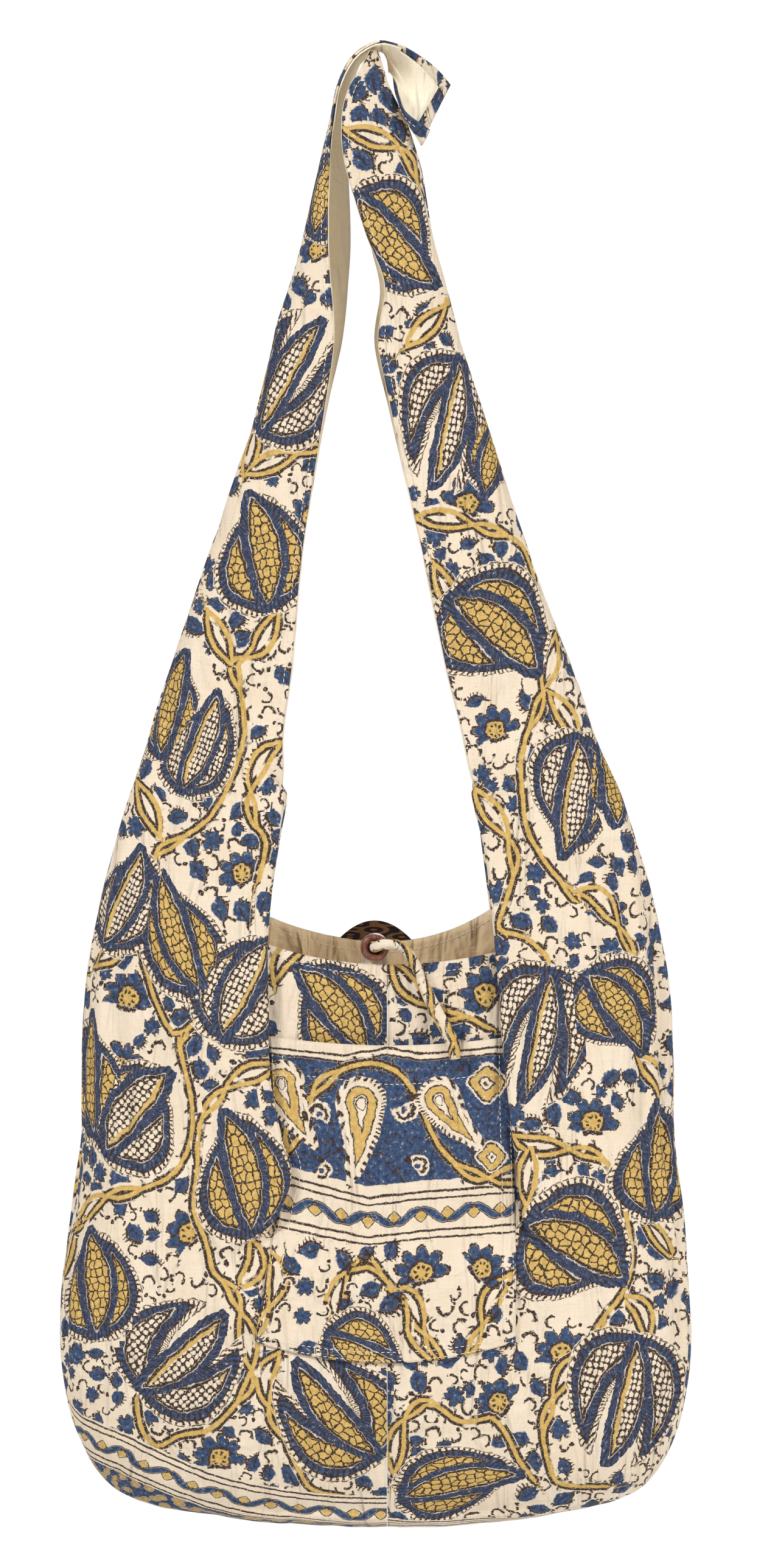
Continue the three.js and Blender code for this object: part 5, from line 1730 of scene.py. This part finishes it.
# The topstitching, as guide lines on the cloth that a node tree sews along
def stitch_tree():
    """Lays a stitch at every pitch along guide lines, each of a slightly different length."""
    tree = bpy.data.node_groups.new("Topstitch", "GeometryNodeTree")
    made = {}
    for label, kind, default, way in (
        ("Guides", "NodeSocketGeometry", None, "INPUT"), ("Pitch", "NodeSocketFloat", 0.0036, "INPUT"),
        ("Stitch length", "NodeSocketFloat", 0.0026, "INPUT"), ("Thread", "NodeSocketFloat", 0.00026, "INPUT"),
        ("Unevenness", "NodeSocketFloat", 0.12, "INPUT"), ("Seed", "NodeSocketInt", 4, "INPUT"),
        ("Material", "NodeSocketMaterial", None, "INPUT"), ("Stitches", "NodeSocketGeometry", None, "OUTPUT"),
    ):
        made[label] = tree.interface.new_socket(label, in_out=way, socket_type=kind)
        if default is not None:
            made[label].default_value = default
    start, end = tree.nodes.new("NodeGroupInput"), tree.nodes.new("NodeGroupOutput")
    given = {socket.name: Term(tree, socket) for socket in start.outputs if socket.name}
    line = node(tree, "GeometryNodeMeshToCurve", {"Mesh": given["Guides"]})
    even = node(tree, "GeometryNodeResampleCurve", {"Curve": line, "Length": given["Pitch"]}, mode="LENGTH")
    ball = node(tree, "GeometryNodeMeshUVSphere", {"Segments": 6, "Rings": 5, "Radius": 1.0})
    tangent = node(tree, "GeometryNodeInputTangent")
    turn = node(tree, "FunctionNodeAlignRotationToVector", {"Vector": tangent}, axis="Z")
    least = {"Min": 1.0 - given["Unevenness"], "Seed": given["Seed"]}
    chance = node(tree, "FunctionNodeRandomValue", least, "Value", data_type="FLOAT")
    long = chance * (given["Stitch length"] * 0.5)
    size = node(tree, "ShaderNodeCombineXYZ", {"X": given["Thread"], "Y": given["Thread"], "Z": long})
    laid = {"Points": even, "Instance": ball, "Rotation": turn, "Scale": size}
    real = node(tree, "GeometryNodeRealizeInstances", {"Geometry": node(tree, "GeometryNodeInstanceOnPoints", laid)})
    finish = node(tree, "GeometryNodeSetMaterial", {"Geometry": real, "Material": given["Material"]})
    feed(tree, end.inputs["Stitches"], finish)
    return tree, made


def sew(name, lines, material, **sizes):
    """Sews along guide lines given in millimetres, and returns the stitches as one plain mesh."""
    points = np.concatenate(lines) * MM
    edges, start = [], 0
    for line in lines:
        edges += [(start + k, start + k + 1) for k in range(len(line) - 1)]
        start += len(line)
    mesh = bpy.data.meshes.new(name + "_guide")
    mesh.from_pydata([tuple(p) for p in points], edges, [])
    guide = shown(name + "_guide", mesh)
    sewing = guide.modifiers.new("Topstitch", "NODES")
    sewing.node_group = STITCH_TREE
    sewing[STITCH_SOCKETS["Material"].identifier] = material
    for label, value in sizes.items():
        sewing[STITCH_SOCKETS[label.replace("_", " ")].identifier] = value
    guide.update_tag()
    seen = guide.evaluated_get(bpy.context.evaluated_depsgraph_get())
    plain = bpy.data.meshes.new_from_object(seen)
    plain.name = name
    bpy.data.objects.remove(guide)
    made = shown(name, plain)
    plain.polygons.foreach_set("use_smooth", np.ones(len(plain.polygons), bool))
    return made


STITCH_TREE, STITCH_SOCKETS = stitch_tree()
THREAD_LIFT, HEM_INSET, LIP_INSET = 0.12, 4.0, 6.5


def inset_spot(points, normals, row, inset):
    """The place in from the start of a row of the cloth, with the cloth's normal there."""
    run = points[row]
    gone = gone_along(run)
    spot = np.array([np.interp(inset, gone, run[:, k]) for k in range(3)])
    return spot, normals[row[int(np.searchsorted(gone, inset))]]


hem_lines, lip_lines, inner_lines = [], [], []
for side in ("left", "right"):
    _, points, numbers, high_numbers = halves[side]
    quads = np.concatenate([grid_quads(numbers), grid_quads(high_numbers)])
    if side == "left":
        quads = quads[:, ::-1]
    normals = sheet_normals(points, quads)
    for way in (1, -1):
        spots = [inset_spot(points, normals, row[::way], HEM_INSET) for row in high_numbers[12:-3]]
        hem_lines.append(np.array([spot + n * THREAD_LIFT for spot, n in spots]))
    # Along the mouth's edge the line runs down each column of the panel by the same distance.
    panel = PANEL_STEPS + 1
    for columns, lift, target in (
        (numbers[:, :panel], THREAD_LIFT, lip_lines), (numbers[:, -panel:], -PLY - THREAD_LIFT, inner_lines),
    ):
        spots = [inset_spot(points, normals, column[::-1], LIP_INSET) for column in columns.T]
        line = np.array([spot + n * lift for spot, n in spots])
        target.append(line)
        if target is inner_lines:
            lip_lines.append(line + np.array([0, PLY + 2 * THREAD_LIFT, 0]))

pocket_grid = pocket_points.reshape(POCKET_LINES + 1, POCKET_COLUMNS + 1, 3)
pocket_normals = sheet_normals(pocket_points, pocket_quads).reshape(pocket_grid.shape)


def pocket_guide(across, up):
    """A line on the pocket at shares across and up it."""
    i, j = np.broadcast_arrays(np.asarray(across) * POCKET_COLUMNS, np.asarray(up) * POCKET_LINES)
    i0, j0 = np.minimum(i.astype(int), POCKET_COLUMNS - 1), np.minimum(j.astype(int), POCKET_LINES - 1)
    s, t = (i - i0)[:, None], (j - j0)[:, None]

    def at(grid):
        return mix(mix(grid[j0, i0], grid[j0, i0 + 1], s), mix(grid[j0 + 1, i0], grid[j0 + 1, i0 + 1], s), t)

    return at(pocket_grid) + at(pocket_normals) * THREAD_LIFT


pocket_lines = []
for inset in (0.012, 0.055):
    low = inset * 0.8
    way = np.linspace(0.995, low, 90)
    foot = np.linspace(inset, 1 - inset, 90)
    pocket_lines += [pocket_guide(inset, way), pocket_guide(foot, low), pocket_guide(1 - inset, way)]
pocket_lines.append(pocket_guide(np.linspace(0.02, 0.98, 80), 0.905 + 0.006 * np.sin(np.linspace(0, 9, 80))))
stitches = [
    sew("hem_stitches", hem_lines, THREAD),
    sew("lip_stitches", lip_lines, THREAD),
    sew("lining_stitches", inner_lines, THREAD),
    sew("pocket_stitches", pocket_lines, THREAD),
]
for piece in (pocket, bead, tie, anchor, tab, *stitches):
    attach(piece, "root")


def cut_size(points, rows, column):
    """The flat size of a cloth: its widest row and its longest run, in metres."""
    def run(line):
        return float(np.linalg.norm(np.diff(points[line], axis=0), axis=1).sum()) * MM

    return max(run(row) for row in rows), run(column)


def area_of(points, quads):
    a, b, c, d = (points[quads[:, k]] for k in range(4))
    return float(np.linalg.norm(np.cross(c - a, d - b), axis=1).sum() / 2) * MM * MM


for side in ("left", "right"):
    (printed, lining), points, numbers, high_numbers = halves[side]
    middle = len(ACROSS) // 2
    up_middle = middle - int(np.searchsorted(ACROSS, HEM - 1e-6))
    column = np.concatenate([numbers[:, middle], high_numbers[1:, up_middle]])
    wide, long = cut_size(points, numbers, column)
    area = area_of(points, np.concatenate([grid_quads(numbers), grid_quads(high_numbers)]))


# Light and camera
BAG_MIDDLE, FLOOR_RADIUS, FLOOR_Z = Vector((0, 0, -0.5)), 2.0, -1.25
CAMERA_AWAY, VIEW_HEIGHT, FILM = 4.5, 1.015, 36.0
for name, at, size, power in (
    ("key", (-2.3, -2.1, 1.3), 0.8, 77.0),
    ("fill", (2.4, -2.1, 0.3), 1.6, 62.0),
    ("back", (0.6, 2.6, 1.4), 1.6, 40.0),
):
    lamp = bpy.data.lights.new(name, "AREA")
    lamp.size, lamp.energy = size, power
    light = shown(name, lamp)
    light.location = at
    light.rotation_euler = (BAG_MIDDLE - Vector(at)).to_track_quat("-Z", "Y").to_euler()

floor_mesh = bpy.data.meshes.new("floor")
turns = [k * math.pi / 32 for k in range(64)]
rim = [(FLOOR_RADIUS * math.cos(turn), FLOOR_RADIUS * math.sin(turn), FLOOR_Z) for turn in turns]
floor_mesh.from_pydata(rim, [], [list(range(64))])
floor = shown("floor", floor_mesh)
pale, _, pale_shader = new_material("pale floor")
pale_shader.inputs["Base Color"].default_value = (0.86, 0.86, 0.85, 1)
pale_shader.inputs["Roughness"].default_value = 0.9
floor.data.materials.append(pale)

camera_data = bpy.data.cameras.new("camera")
camera = shown("camera", camera_data)
camera.location = (0.0024, -CAMERA_AWAY, -0.472)
camera.rotation_euler = (math.pi / 2, 0, 0)
camera_data.sensor_fit = "VERTICAL"
camera_data.sensor_height = FILM
camera_data.lens = FILM * CAMERA_AWAY / VIEW_HEIGHT
bpy.context.scene.camera = camera

world = bpy.data.worlds.new("studio")
bpy.context.scene.world = world
world.use_nodes = True
sky = world.node_tree
soft = sky.nodes["Background"]
soft.inputs["Color"].default_value = (1, 1, 1, 1)
soft.inputs["Strength"].default_value = 0.34
seen = sky.nodes.new("ShaderNodeBackground")
seen.inputs["Color"].default_value = (1, 1, 1, 1)
seen.inputs["Strength"].default_value = 1.0
path, chosen = sky.nodes.new("ShaderNodeLightPath"), sky.nodes.new("ShaderNodeMixShader")
sky.links.new(path.outputs["Is Camera Ray"], chosen.inputs[0])
sky.links.new(soft.outputs[0], chosen.inputs[1])
sky.links.new(seen.outputs[0], chosen.inputs[2])
sky.links.new(chosen.outputs[0], sky.nodes["World Output"].inputs["Surface"])
bpy.context.scene.view_settings.view_transform = "Standard"
